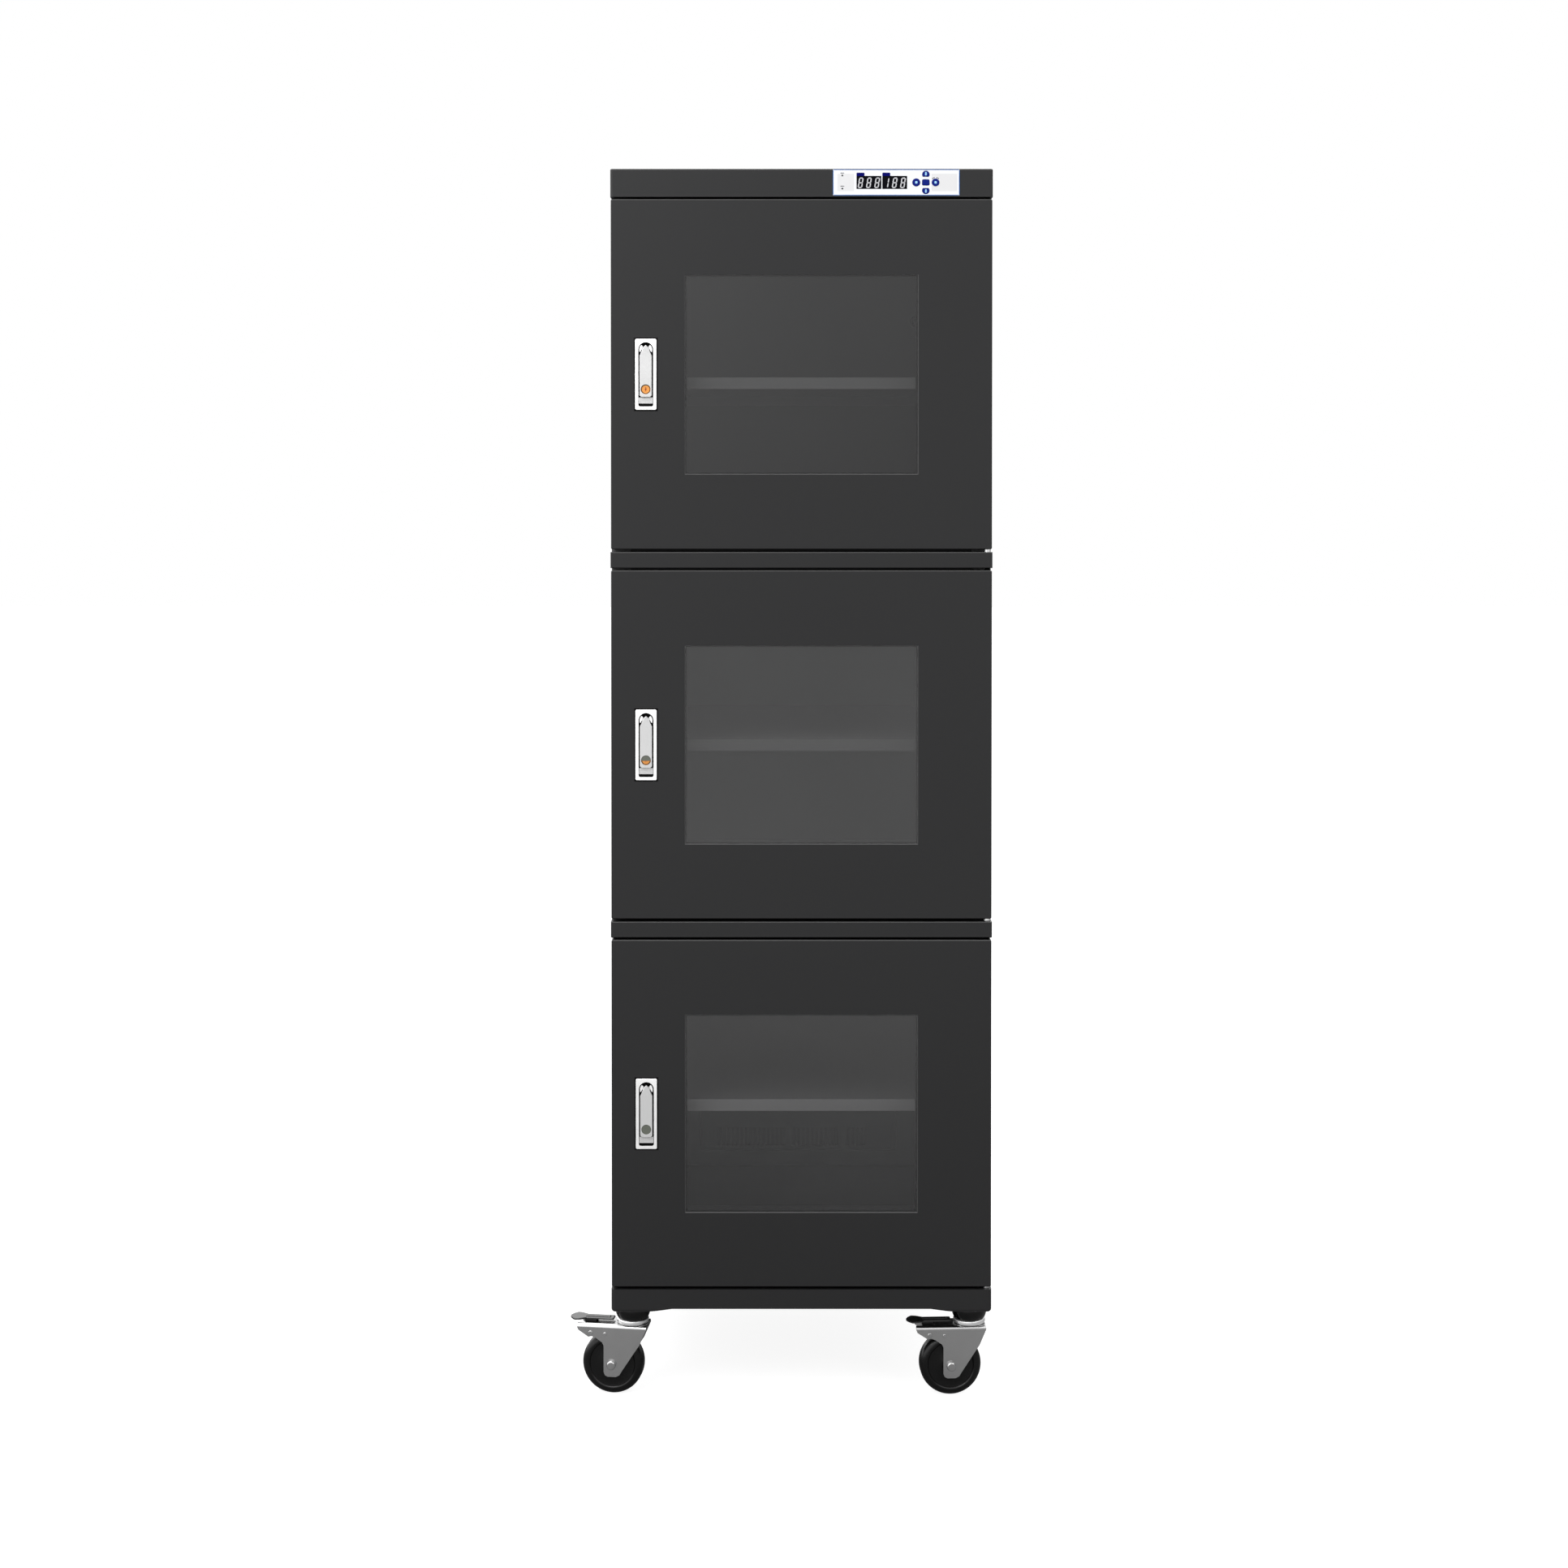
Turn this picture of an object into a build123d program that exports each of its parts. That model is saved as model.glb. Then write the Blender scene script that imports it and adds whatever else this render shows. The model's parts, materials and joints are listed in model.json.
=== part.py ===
"""Three-door dry cabinet (desiccator cabinet) on swivel casters, in millimetres.

+X is to the right, +Y to the back and +Z up. The origin is on the floor, under the middle of the
598 x 710 footprint. The door fronts lie on FRONT and depths are measured back from there.
"""

import os

from build123d import *

# ---- driving dimensions -------------------------------------------------------------------------
WIDTH = 598.0
DEPTH = 710.0
SHEET = 1.2
CASTER_HEIGHT = 148.0
BASE_HEIGHT = 36.0
RAIL_HEIGHT = 25.0
CAP_HEIGHT = 44.0
DOOR_WIDTH = 596.4
DOOR_HEIGHT = 547.0
DOOR_DEPTH = 28.0
GAP_BELOW_DOOR = 4.4
GAP_ABOVE_DOOR = 3.6
SEAL_SPACE = 4.5
WINDOW_WIDTH = 366.0
WINDOW_HEIGHT = 313.0
GLASS_THICKNESS = 4.0
LANDING = 23.0
SIDE_FLANGE, REAR_FLANGE, HEM_DEPTH = 30.0, 20.0, 12.0
STRIKE_ABOVE = 14.0
FLOOR_TO_SHELF = 287.1
SHELF_LIP = 18.3
WHEEL_RADIUS = 49.0
LOCK_INSET = 54.8

# ---- places worked out from them ----------------------------------------------------------------
DOOR_NAMES = ("lower", "middle", "upper")
FRONT = -DEPTH / 2
BACK = DEPTH / 2
HALF = WIDTH / 2
PITCH = RAIL_HEIGHT + GAP_BELOW_DOOR + DOOR_HEIGHT + GAP_ABOVE_DOOR
FLOOR_Z = CASTER_HEIGHT + BASE_HEIGHT
BAY_HEIGHT = PITCH - RAIL_HEIGHT
CAP_Z = FLOOR_Z + 3 * BAY_HEIGHT + 2 * RAIL_HEIGHT
TOP_Z = CAP_Z + CAP_HEIGHT
LANDING_Y = FRONT + DOOR_DEPTH + SEAL_SPACE
BAY_Z = [FLOOR_Z + i * PITCH for i in range(3)]
DOOR_Z = [z + GAP_BELOW_DOOR + DOOR_HEIGHT / 2 for z in BAY_Z]
RAIL_Z = [BAY_Z[i] + BAY_HEIGHT for i in range(2)]
HINGE_X = DOOR_WIDTH / 2 - 6.2
HINGE_Y = FRONT + DOOR_DEPTH / 2
HINGE_PIN = 4.0
SHELF_Z = [FLOOR_Z + 0.5 + (i + 1) * FLOOR_TO_SHELF for i in range(5)]
SHELF_FRONT = FRONT + 52.0
SHELF_DEPTH = 630.0
SHELF_WIDTH = 572.0
SIDE_Z0, SIDE_Z1 = FLOOR_Z, CAP_Z
LOCK_X = -DOOR_WIDTH / 2 + LOCK_INSET

# Lock, measured from its middle on the door's front face; depth grows into the door.
BEZEL_WIDTH, BEZEL_HEIGHT, BEZEL_PROUD = 33.5, 111.0, 2.2
RECESS_WIDTH, RECESS_HALF_HEIGHT = 23.5, 50.2
ROTOR_Z = RECESS_HALF_HEIGHT - RECESS_WIDTH / 2
ROTOR_RADIUS = RECESS_WIDTH / 2 - 0.45
PIVOT_DEPTH = -1.0
LEVER_WIDTH, LEVER_FOOT = 19.0, -35.7
LEVER_FRONT, LEVER_BACK = -6.2, -2.5
KEY_Z, KEY_RADIUS = -23.5, 7.6
SHUTTER_TRAVEL, SHUTTER_WIDTH, SHUTTER_HEIGHT = 14.0, 15.6, 15.8
SHUTTER_LIFT = {"upper": SHUTTER_TRAVEL, "middle": SHUTTER_TRAVEL / 2, "lower": 0.0}
BUTTON_TOP, BUTTON_HEIGHT, BUTTON_PROUD = -36.2, 9.3, 2.3
CAM_DEPTH, CAM_THICK, CAM_REACH = 38.4, 3.2, 38.5

# Control strip on the cap's face.
OVERLAY_X, OVERLAY_Z = 147.8, CAP_Z + CAP_HEIGHT / 2 + 0.2
OVERLAY_WIDTH, OVERLAY_HEIGHT, OVERLAY_THICK = 197.9, 40.7, 1.2
DISPLAY_X = (105.1, 145.4)
DISPLAY_WIDTH, DISPLAY_HEIGHT = 38.6, 20.2
KEYS = {
    "key_left": (-15.0, 0.0),
    "key_right": (15.2, 0.0),
    "key_up": (0.0, 13.6),
    "key_down": (0.0, -13.6),
    "key_set": (0.0, 0.0),
}
KEYPAD_X = 194.0
KEY_CAP = (11.2, 9.2)
KEY_ROUND = 6.0
KEY_CLEARANCE = 0.3
BOARD_DEPTH = 7.0

# Drying unit on the back wall of the lowest bay.
UNIT_WIDTH, UNIT_HEIGHT, UNIT_DEPTH = 364.0, 205.0, 22.0
UNIT_Z = FLOOR_Z + 34.0
UNIT_SLOT = (3.2, 34.0)
UNIT_SLOT_GROUPS = ((-151.0, 16), (-12.0, 11), (88.0, 5))
UNIT_SLOT_PITCH = 8.2
UNIT_GRILLE_UP = 10.0
VENT_WIDTH, VENT_HEIGHT, VENT_PROUD = 240.0, 150.0, 7.0

# Small fittings inside and behind.
SENSOR_X, SENSOR_Z = 216.0, 1759.0
INLET_X, INLET_Z = -180.0, OVERLAY_Z

# Casters: swivel axes, and the way each one trails, in degrees from +X.
CASTER_X, CASTER_FRONT_Y, CASTER_REAR_Y = 268.5, FRONT + 62.0, BACK - 66.0
TRAIL = 31.0
CASTERS = {
    "front_left": (-CASTER_X, CASTER_FRONT_Y, 172.0, True),
    "front_right": (CASTER_X, CASTER_FRONT_Y, 183.0, True),
    "rear_left": (-CASTER_X, CASTER_REAR_Y, 22.0, False),
    "rear_right": (CASTER_X, CASTER_REAR_Y, 6.0, False),
}
WHEEL_WIDTH, WHEEL_SHOULDER = 32.0, 10.0
AXLE_RADIUS = 5.0
FORK_SHEET, FORK_BEND = 2.5, 6.0
FORK_GAP = 38.0
FORK_NOSE, FORK_TOP = -25.0, 113.0
CUP_RADIUS, CUP_TOP = 25.5, 121.0
PEDAL_PIVOT = (65.0, 98.5)
PEDAL_HEIGHT = 116.4


def block(x0, x1, y0, y1, z0, z1):
    """A box between two corners."""
    centre = Pos((x0 + x1) / 2, (y0 + y1) / 2, (z0 + z1) / 2)
    return centre * Box(x1 - x0, y1 - y0, z1 - z0)


def plate(width, height, y0, y1, radius=0.0, at=(0.0, 0.0)):
    """An upright plate that faces the front, with rounded corners, centred on at = (x, z)."""
    outline = RectangleRounded(width, height, radius) if radius else Rectangle(width, height)
    solid = extrude(Plane.XZ * outline, amount=y1 - y0, dir=(0, 1, 0))
    return Pos(at[0], y0, at[1]) * solid


def rod(radius, y0, y1, x=0.0, z=0.0):
    """A cylinder that lies along Y."""
    return Pos(x, (y0 + y1) / 2, z) * Rot(90, 0, 0) * Cylinder(radius, y1 - y0)


def post(radius, z0, z1, x=0.0, y=0.0):
    """A cylinder that stands along Z."""
    return Pos(x, y, (z0 + z1) / 2) * Cylinder(radius, z1 - z0)


def crossbar(radius, x0, x1, y=0.0, z=0.0):
    """A cylinder that lies along X."""
    return Pos((x0 + x1) / 2, y, z) * Rot(0, 90, 0) * Cylinder(radius, x1 - x0)


def round_front(solid, y, radius):
    """Rounds every outer edge that lies in the front plane y."""
    face = solid.faces().filter_by(Plane.XZ).group_by(Axis.Y)[0][0]
    if abs(face.center().Y - y) > 0.01:
        raise ValueError("the front face isn't where it was expected")
    return fillet(face.outer_wire().edges(), radius)


def group(solids):
    """Separate solids that share one node."""
    return Compound(children=list(solids))


def mirrored(solid):
    return mirror(solid, about=Plane.YZ)


# ---- carcass ------------------------------------------------------------------------------------
def side_panel(strikes=False):
    """Left side: one sheet with a hemmed landing flange in front and a narrow flange behind.

    With strikes, the hem is cut away at each lock, so that the cam can swing in behind the flange.
    """
    x = -HALF
    hem_x = x + SIDE_FLANGE
    wall = block(x, x + SHEET, LANDING_Y, BACK, SIDE_Z0, SIDE_Z1)
    front = block(x, hem_x, LANDING_Y, LANDING_Y + SHEET, SIDE_Z0, SIDE_Z1)
    hem = block(hem_x - SHEET, hem_x, LANDING_Y, LANDING_Y + HEM_DEPTH, SIDE_Z0, SIDE_Z1)
    rear = block(x, x + REAR_FLANGE, BACK - SHEET, BACK, SIDE_Z0, SIDE_Z1)
    if strikes:
        for z in (door + ROTOR_Z for door in DOOR_Z):
            slot = block(-2 * SHEET, SHEET, SHEET, DEPTH / 2, -CAM_REACH, STRIKE_ABOVE)
            hem -= Pos(hem_x, LANDING_Y, z) * slot
    return wall + front + hem + rear


def back_panel():
    """Rear wall, let in between the rear flanges, with an opening for the drying unit's vent."""
    y1 = BACK - SHEET
    wall = block(-HALF + SHEET, HALF - SHEET, y1 - SHEET, y1, SIDE_Z0, SIDE_Z1)
    middle = (0, UNIT_Z + UNIT_HEIGHT / 2)
    opening = plate(VENT_WIDTH - 30, VENT_HEIGHT - 30, y1 - 5, y1 + 5, 6, middle)
    return wall - opening


def landing_strip(z0, z1):
    """The flat strip between the side flanges that a door's seal closes on."""
    return block(-HALF + SIDE_FLANGE, HALF - SIDE_FLANGE, LANDING_Y, LANDING_Y + SHEET, z0, z1)


def front_rail(z):
    """Hat section between two doors: a nose level with the door fronts and a landing above and below."""
    nose = block(-HALF, HALF, FRONT, LANDING_Y, z, z + RAIL_HEIGHT)
    nose = round_front(nose, FRONT, 1.2)
    inside = HALF - SHEET
    hollow = block(-inside, inside, FRONT + SHEET, LANDING_Y, z + SHEET, z + RAIL_HEIGHT - SHEET)
    below = landing_strip(z - LANDING, z + SHEET)
    above = landing_strip(z + RAIL_HEIGHT - SHEET, z + RAIL_HEIGHT + LANDING)
    rail = nose - hollow + below + above
    holes = post(HINGE_PIN, z - 5, z + RAIL_HEIGHT + 5, HINGE_X, HINGE_Y)
    return rail - holes


def top_cap():
    """Hollow lid that holds the electronics; its underside is the ceiling of the top bay."""
    shell = block(-HALF, HALF, FRONT, BACK, CAP_Z, TOP_Z)
    uprights = shell.edges().filter_by(Axis.Z)
    shell = fillet(uprights, 3.6)
    shell = fillet(shell.faces().sort_by(Axis.Z)[-1].edges(), 2.4)
    inside = HALF - SHEET
    cavity = block(-inside, inside, FRONT + SHEET, BACK - SHEET, CAP_Z + SHEET, TOP_Z - SHEET)
    cap = shell - cavity + landing_strip(CAP_Z - LANDING, CAP_Z)
    strip = (OVERLAY_X, OVERLAY_Z)
    window = plate(OVERLAY_WIDTH - 12, OVERLAY_HEIGHT - 3, FRONT - 5, FRONT + 5, 2, strip)
    inlet = plate(28.2, 20.2, BACK - 5, BACK + 5, 2, (INLET_X, INLET_Z))
    pin = post(HINGE_PIN, CAP_Z - 5, CAP_Z + 5, HINGE_X, HINGE_Y)
    return cap - window - inlet - pin


def base_pan():
    """Hollow plinth; its underside stands on four low corner pads that take the casters."""
    drop, corner = 5.6, 6.5
    pad, slope = 57.0, 38.0
    z0, z1 = CASTER_HEIGHT, FLOOR_Z
    shell = block(-HALF, HALF, FRONT, BACK, z0, z1)
    shell = fillet(shell.edges().filter_by(Axis.Z), corner)
    shell = fillet(shell.faces().sort_by(Axis.Z)[0].edges(), 5.2)

    def relief(half_length):
        return Polyline(
            (-half_length + pad, -1),
            (-half_length + pad, 0),
            (-half_length + pad + slope, drop),
            (half_length - pad - slope, drop),
            (half_length - pad, 0),
            (half_length - pad, -1),
            close=True,
        )

    across = extrude(Plane.XZ * make_face(relief(HALF)), amount=DEPTH, both=True)
    along = extrude(Plane.YZ * make_face(relief(DEPTH / 2)), amount=WIDTH, both=True)
    shell = shell - Pos(0, 0, z0) * across - Pos(0, 0, z0) * along
    half_x, half_y = HALF - SHEET, DEPTH / 2 - SHEET
    cavity = block(-half_x, half_x, -half_y, half_y, z0 + drop + 2.0, z1 - SHEET)
    cavity = fillet(cavity.edges().filter_by(Axis.Z), corner - SHEET)
    pan = shell - cavity + landing_strip(z1, z1 + LANDING)
    for x, y, _, _ in CASTERS.values():
        pan -= post(6.1, z0 - 5, z0 + 12, x, y)
    return pan - post(HINGE_PIN, z1 - 5, z1 + 5, HINGE_X, HINGE_Y)


def hinge_pins():
    """Two pins for each door: the lower one carries the door on a bright spacer ring."""
    pins = []
    for z in BAY_Z:
        low = post(HINGE_PIN, z - SHEET, z + 18, HINGE_X, HINGE_Y)
        spacer = post(5.5, z, z + GAP_BELOW_DOOR - 0.15, HINGE_X, HINGE_Y)
        ceiling = z + BAY_HEIGHT
        pins.append(low + spacer)
        pins.append(post(HINGE_PIN, ceiling - 18, ceiling + SHEET, HINGE_X, HINGE_Y))
    return group(pins)


# ---- interior -----------------------------------------------------------------------------------
def shelf(z):
    """Sheet shelf with a folded lip on every side and a safety return along the front."""
    x, y0, y1 = SHELF_WIDTH / 2, SHELF_FRONT, SHELF_FRONT + SHELF_DEPTH
    tray = block(-x, x, y0, y1, z - SHELF_LIP, z)
    tray = fillet(tray.edges().filter_by(Axis.X).group_by(Axis.Z)[-1].sort_by(Axis.Y)[0], 1.0)
    tray -= block(-x + SHEET, x - SHEET, y0 + SHEET, y1 - SHEET, z - SHELF_LIP - 1, z - SHEET)
    fold = block(-x + SHEET, x - SHEET, y0 + SHEET, y0 + 12, z - SHELF_LIP, z - SHELF_LIP + SHEET)
    return tray + fold


UPRIGHT_Y = (SHELF_FRONT + 60, SHELF_FRONT + SHELF_DEPTH - 90)
UPRIGHT_DEPTH, UPRIGHT_WIDTH = 9.0, 26.0


def upright(y):
    """Slotted channel on the left wall that the shelf hooks hang in."""
    x, half = -HALF + SHEET, UPRIGHT_WIDTH / 2
    z0, z1 = SIDE_Z0 + 30, SIDE_Z1 - 30
    channel = block(x, x + UPRIGHT_DEPTH, y - half, y + half, z0, z1)
    half -= SHEET
    channel -= block(x, x + UPRIGHT_DEPTH - SHEET, y - half, y + half, z0 - 1, z1 + 1)
    step = FLOOR_TO_SHELF / 5
    count = int((z1 - z0) / step)
    slots = [
        block(x + UPRIGHT_DEPTH - 3, x + UPRIGHT_DEPTH + 1, y - 3, y + 3, z - 9, z + 9)
        for z in (SHELF_Z[0] - SHELF_LIP - 12 + (i - 4) * step for i in range(count))
        if z - 12 > z0 and z + 12 < z1
    ]
    return channel - slots


def shelf_hook(y, z):
    """Hook under a shelf's left edge: a tab flat on the channel and a ledge with a turned-up end."""
    x = -HALF + SHEET + UPRIGHT_DEPTH
    foot = z - SHELF_LIP
    tab = block(x, x + 2, y - 11, y + 11, foot - 24, foot + 10)
    ledge = block(x, x + 20, y - 11, y + 11, foot - 2.5, foot - 0.3)
    gusset = extrude(
        Plane.XZ * make_face(Polyline((0, 0), (17, 0), (0, -18), close=True)), amount=1, both=True
    )
    return tab + ledge + Pos(x + 1, y, foot - 2) * gusset


def shelf_supports():
    uprights = [upright(y) for y in UPRIGHT_Y]
    hooks = [shelf_hook(y, z) for z in SHELF_Z for y in UPRIGHT_Y]
    left = uprights + hooks
    return group(left + [mirrored(s) for s in left])


def grille_middle():
    return (0, UNIT_Z + UNIT_SLOT[1] / 2 + UNIT_GRILLE_UP)


def drying_unit_case():
    """Shallow housing on the back wall and the vent box that it breathes through outside."""
    y1 = BACK - 2 * SHEET
    y0 = y1 - UNIT_DEPTH
    z = UNIT_Z + UNIT_HEIGHT / 2
    inside = plate(UNIT_WIDTH, UNIT_HEIGHT, y0, y1, 5, (0, z))
    inside = fillet(inside.faces().sort_by(Axis.Y)[0].edges(), 2.5)
    inside -= plate(UNIT_WIDTH - 18, UNIT_SLOT[1] + 8, y0 - 1, y0 + 10, 3, grille_middle())
    duct = plate(VENT_WIDTH - 32, VENT_HEIGHT - 32, y1, BACK, 5, (0, z))
    vent = plate(VENT_WIDTH, VENT_HEIGHT, BACK, BACK + VENT_PROUD, 8, (0, z))
    vent = fillet(vent.faces().sort_by(Axis.Y)[-1].edges(), 2.5)
    louvres = [
        plate(VENT_WIDTH - 40, 5, BACK + 2, BACK + VENT_PROUD + 1, 2, (0, z - 54 + 12 * i))
        for i in range(10)
    ]
    return inside + duct + (vent - louvres)


def drying_unit_grille():
    """Slotted insert low on the housing's face, in three runs of upright slots."""
    y0 = BACK - 2 * SHEET - UNIT_DEPTH
    z = grille_middle()[1]
    insert = plate(UNIT_WIDTH - 18.4, UNIT_SLOT[1] + 7.6, y0 + 0.6, y0 + 9.8, 2.8, (0, z))
    slots = [
        block(x, x + UNIT_SLOT[0], y0 - 1, y0 + 7, z - UNIT_SLOT[1] / 2, z + UNIT_SLOT[1] / 2)
        for start, count in UNIT_SLOT_GROUPS
        for x in (start + i * UNIT_SLOT_PITCH for i in range(count))
    ]
    return insert - slots


def humidity_sensor():
    """Slotted capsule on a round foot, high on the back wall."""
    y = BACK - 2 * SHEET
    foot = rod(9, y - 3, y)
    capsule = fillet(rod(5.5, y - 26, y - 3).edges().sort_by(Axis.Y)[0], 2.5)
    slits = [block(-0.8, 0.8, y - 20, y - 9, -7, 7), block(-7, 7, y - 20, y - 9, -0.8, 0.8)]
    core = rod(3.5, y - 22, y - 5)
    return Pos(SENSOR_X, 0, SENSOR_Z) * (foot + capsule - slits + core)


# ---- control strip ------------------------------------------------------------------------------
def key_places():
    return {name: (KEYPAD_X + dx, OVERLAY_Z + dz) for name, (dx, dz) in KEYS.items()}


def key_outline(name, grow=0.0):
    """The middle key is a rounded square, the side keys are round, the others domed on the outside."""
    width, height = KEY_CAP[0] + 2 * grow, KEY_CAP[1] + 2 * grow
    if name == "key_set":
        return RectangleRounded(width, height, 2.2)
    if name in ("key_left", "key_right"):
        return Circle(KEY_ROUND + grow)
    flat = 1 if name == "key_down" else -1
    dome = Pos(0, flat * 1.2) * Circle(width / 2) & Rectangle(width, height)
    return fillet(dome.vertices(), 1.2)


def key_shape(name, y0, y1, grow=0.0):
    x, z = key_places()[name]
    return Pos(x, y0, z) * extrude(Plane.XZ * key_outline(name, grow), amount=y1 - y0, dir=(0, 1, 0))


def control_overlay():
    """Face sheet of the control strip, with holes for the displays and the five keys."""
    place = (OVERLAY_X, OVERLAY_Z)
    sheet = plate(OVERLAY_WIDTH, OVERLAY_HEIGHT, FRONT - OVERLAY_THICK, FRONT, 1.5, place)
    for x in DISPLAY_X:
        sheet -= plate(DISPLAY_WIDTH, DISPLAY_HEIGHT, FRONT - 5, FRONT + 5, 0, (x, OVERLAY_Z))
    for name in KEYS:
        sheet -= key_shape(name, FRONT - 5, FRONT + 5, KEY_CLEARANCE)
    return sheet


def displays():
    """Two three-digit display blocks that stand on the board behind the strip."""
    y0, y1 = FRONT - OVERLAY_THICK - 0.3, FRONT + BOARD_DEPTH
    return group(plate(DISPLAY_WIDTH, DISPLAY_HEIGHT, y0, y1, 0, (x, OVERLAY_Z)) for x in DISPLAY_X)


def key_cap(name):
    """Key with soft edges and a stem that ends just clear of the board."""
    x, z = key_places()[name]
    cap = key_shape(name, FRONT - OVERLAY_THICK - 0.9, FRONT + 2.0)
    cap = fillet(cap.faces().sort_by(Axis.Y)[0].edges(), 0.6)
    return cap + rod(2.2, FRONT + 2.0, FRONT + BOARD_DEPTH - 0.6, x, z)


def control_board():
    """Circuit board behind the strip, with its relay, transformer and terminal block."""
    y0, y1 = FRONT + BOARD_DEPTH, FRONT + BOARD_DEPTH + 1.6
    board = plate(182, 34, y0, y1, 1, (OVERLAY_X, OVERLAY_Z))
    relay = plate(19, 15, y1, y1 + 15, 1, (OVERLAY_X + 60, OVERLAY_Z))
    transformer = plate(34, 28, y1, y1 + 24, 1, (OVERLAY_X - 58, OVERLAY_Z))
    terminals = plate(40, 10, y1, y1 + 11, 0.5, (OVERLAY_X, OVERLAY_Z - 9))
    spacers = [
        rod(2.5, FRONT + SHEET, y0, OVERLAY_X + sx * 86, OVERLAY_Z + sz * 14)
        for sx in (-1, 1)
        for sz in (-1, 1)
    ]
    carrier = plate(190, 41, FRONT + SHEET, FRONT + SHEET + 1, 1, (OVERLAY_X, OVERLAY_Z))
    carrier -= plate(166, 37.6, FRONT, FRONT + 5, 1, (OVERLAY_X, OVERLAY_Z))
    return board + relay + transformer + terminals + spacers + carrier


def power_inlet():
    """Three-pin appliance inlet on the back of the cap."""
    flange = plate(40, 27, BACK, BACK + 3, 4)
    body = plate(28, 20, BACK - 22, BACK, 2)
    mouth = plate(24.4, 16.4, BACK - 15, BACK + 5, 2.5)
    pins = [plate(2, 4.6, BACK - 16, BACK - 3, 0, place) for place in ((-7, 2), (0, -2), (7, 2))]
    return Pos(INLET_X, 0, INLET_Z) * (flange + body - mouth + pins)


# ---- doors --------------------------------------------------------------------------------------
def door_skin(z):
    """Door front: a deep pan with a window opening, a slot for the lock and two hinge sockets."""
    w, h = DOOR_WIDTH / 2, DOOR_HEIGHT / 2
    pan = block(-w, w, FRONT, FRONT + DOOR_DEPTH, z - h, z + h)
    pan = fillet(pan.edges().filter_by(Axis.Y), 2.5)
    pan = round_front(pan, FRONT, 1.6)
    inside = (DOOR_WIDTH - 2 * SHEET, DOOR_HEIGHT - 2 * SHEET)
    pan -= plate(*inside, FRONT + SHEET, FRONT + DOOR_DEPTH + 1, 1.3, (0, z))
    pan -= plate(WINDOW_WIDTH, WINDOW_HEIGHT, FRONT - 1, FRONT + 5, 1.0, (0, z))
    pan -= plate(27.4, 104.4, FRONT - 1, FRONT + 5, 1.5, (LOCK_X, z))
    for end in (-1, 1):
        socket = block(HINGE_X - 8, w - SHEET, HINGE_Y - 8, HINGE_Y + 8, h - 24, h - SHEET)
        socket -= post(HINGE_PIN + 0.1, h - 21, h, HINGE_X, HINGE_Y)
        hole = post(HINGE_PIN + 0.1, h - 2 * SHEET, h + 1, HINGE_X, HINGE_Y)
        if end < 0:
            socket, hole = mirror(socket, about=Plane.XY), mirror(hole, about=Plane.XY)
        pan = pan + Pos(0, 0, z) * socket - Pos(0, 0, z) * hole
    return pan


def door_liner(z):
    """Door back: a flat sheet whose window opening is drawn forward to clamp the glass."""
    y0, y1 = FRONT + DOOR_DEPTH - SHEET, FRONT + DOOR_DEPTH
    glass_back = FRONT + SHEET + GLASS_THICKNESS
    sheet = plate(DOOR_WIDTH - 2 * SHEET - 0.4, DOOR_HEIGHT - 2 * SHEET - 0.4, y0, y1, 1.5, (0, z))
    reveal = plate(WINDOW_WIDTH - 4, WINDOW_HEIGHT - 4, glass_back, y1, 2.2, (0, z))
    lip = plate(WINDOW_WIDTH + 20, WINDOW_HEIGHT + 20, glass_back, glass_back + SHEET, 3, (0, z))
    bore = plate(WINDOW_WIDTH - 4 - 2 * SHEET, WINDOW_HEIGHT - 4 - 2 * SHEET, FRONT, y1 + 1, 1, (0, z))
    return sheet + reveal + lip - bore - rod(8, y0 - 1, y1 + 1, LOCK_X, z + ROTOR_Z)


def window_glass(z):
    return plate(
        WINDOW_WIDTH + 24, WINDOW_HEIGHT + 24, FRONT + SHEET, FRONT + SHEET + GLASS_THICKNESS, 2, (0, z)
    )


def door_seal(z):
    """Magnetic gasket: a flat strip round the door's back with a bellows groove along it."""
    y0, y1 = FRONT + DOOR_DEPTH, LANDING_Y - 0.3
    outer_w, outer_h, strip = DOOR_WIDTH - 18, DOOR_HEIGHT - 8, 14.0
    ring = plate(outer_w, outer_h, y0, y1, 5, (0, z)) - plate(
        outer_w - 2 * strip, outer_h - 2 * strip, y0 - 1, y1 + 1, 2, (0, z)
    )
    groove = plate(outer_w + 1, outer_h + 1, y0 + 1.4, y0 + 2.8, 3, (0, z)) - plate(
        outer_w - 3, outer_h - 3, y0, y1, 4, (0, z)
    )
    return ring - groove


# ---- locks --------------------------------------------------------------------------------------
def recess_outline():
    """The handle's recess: round at the top, square with soft corners at the bottom."""
    shaft = Rectangle(RECESS_WIDTH, ROTOR_Z + RECESS_HALF_HEIGHT, align=(Align.CENTER, Align.MAX))
    shaft = fillet(shaft.vertices().group_by(Axis.Y)[0], 3)
    return Pos(0, ROTOR_Z) * (shaft + Circle(RECESS_WIDTH / 2))


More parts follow.
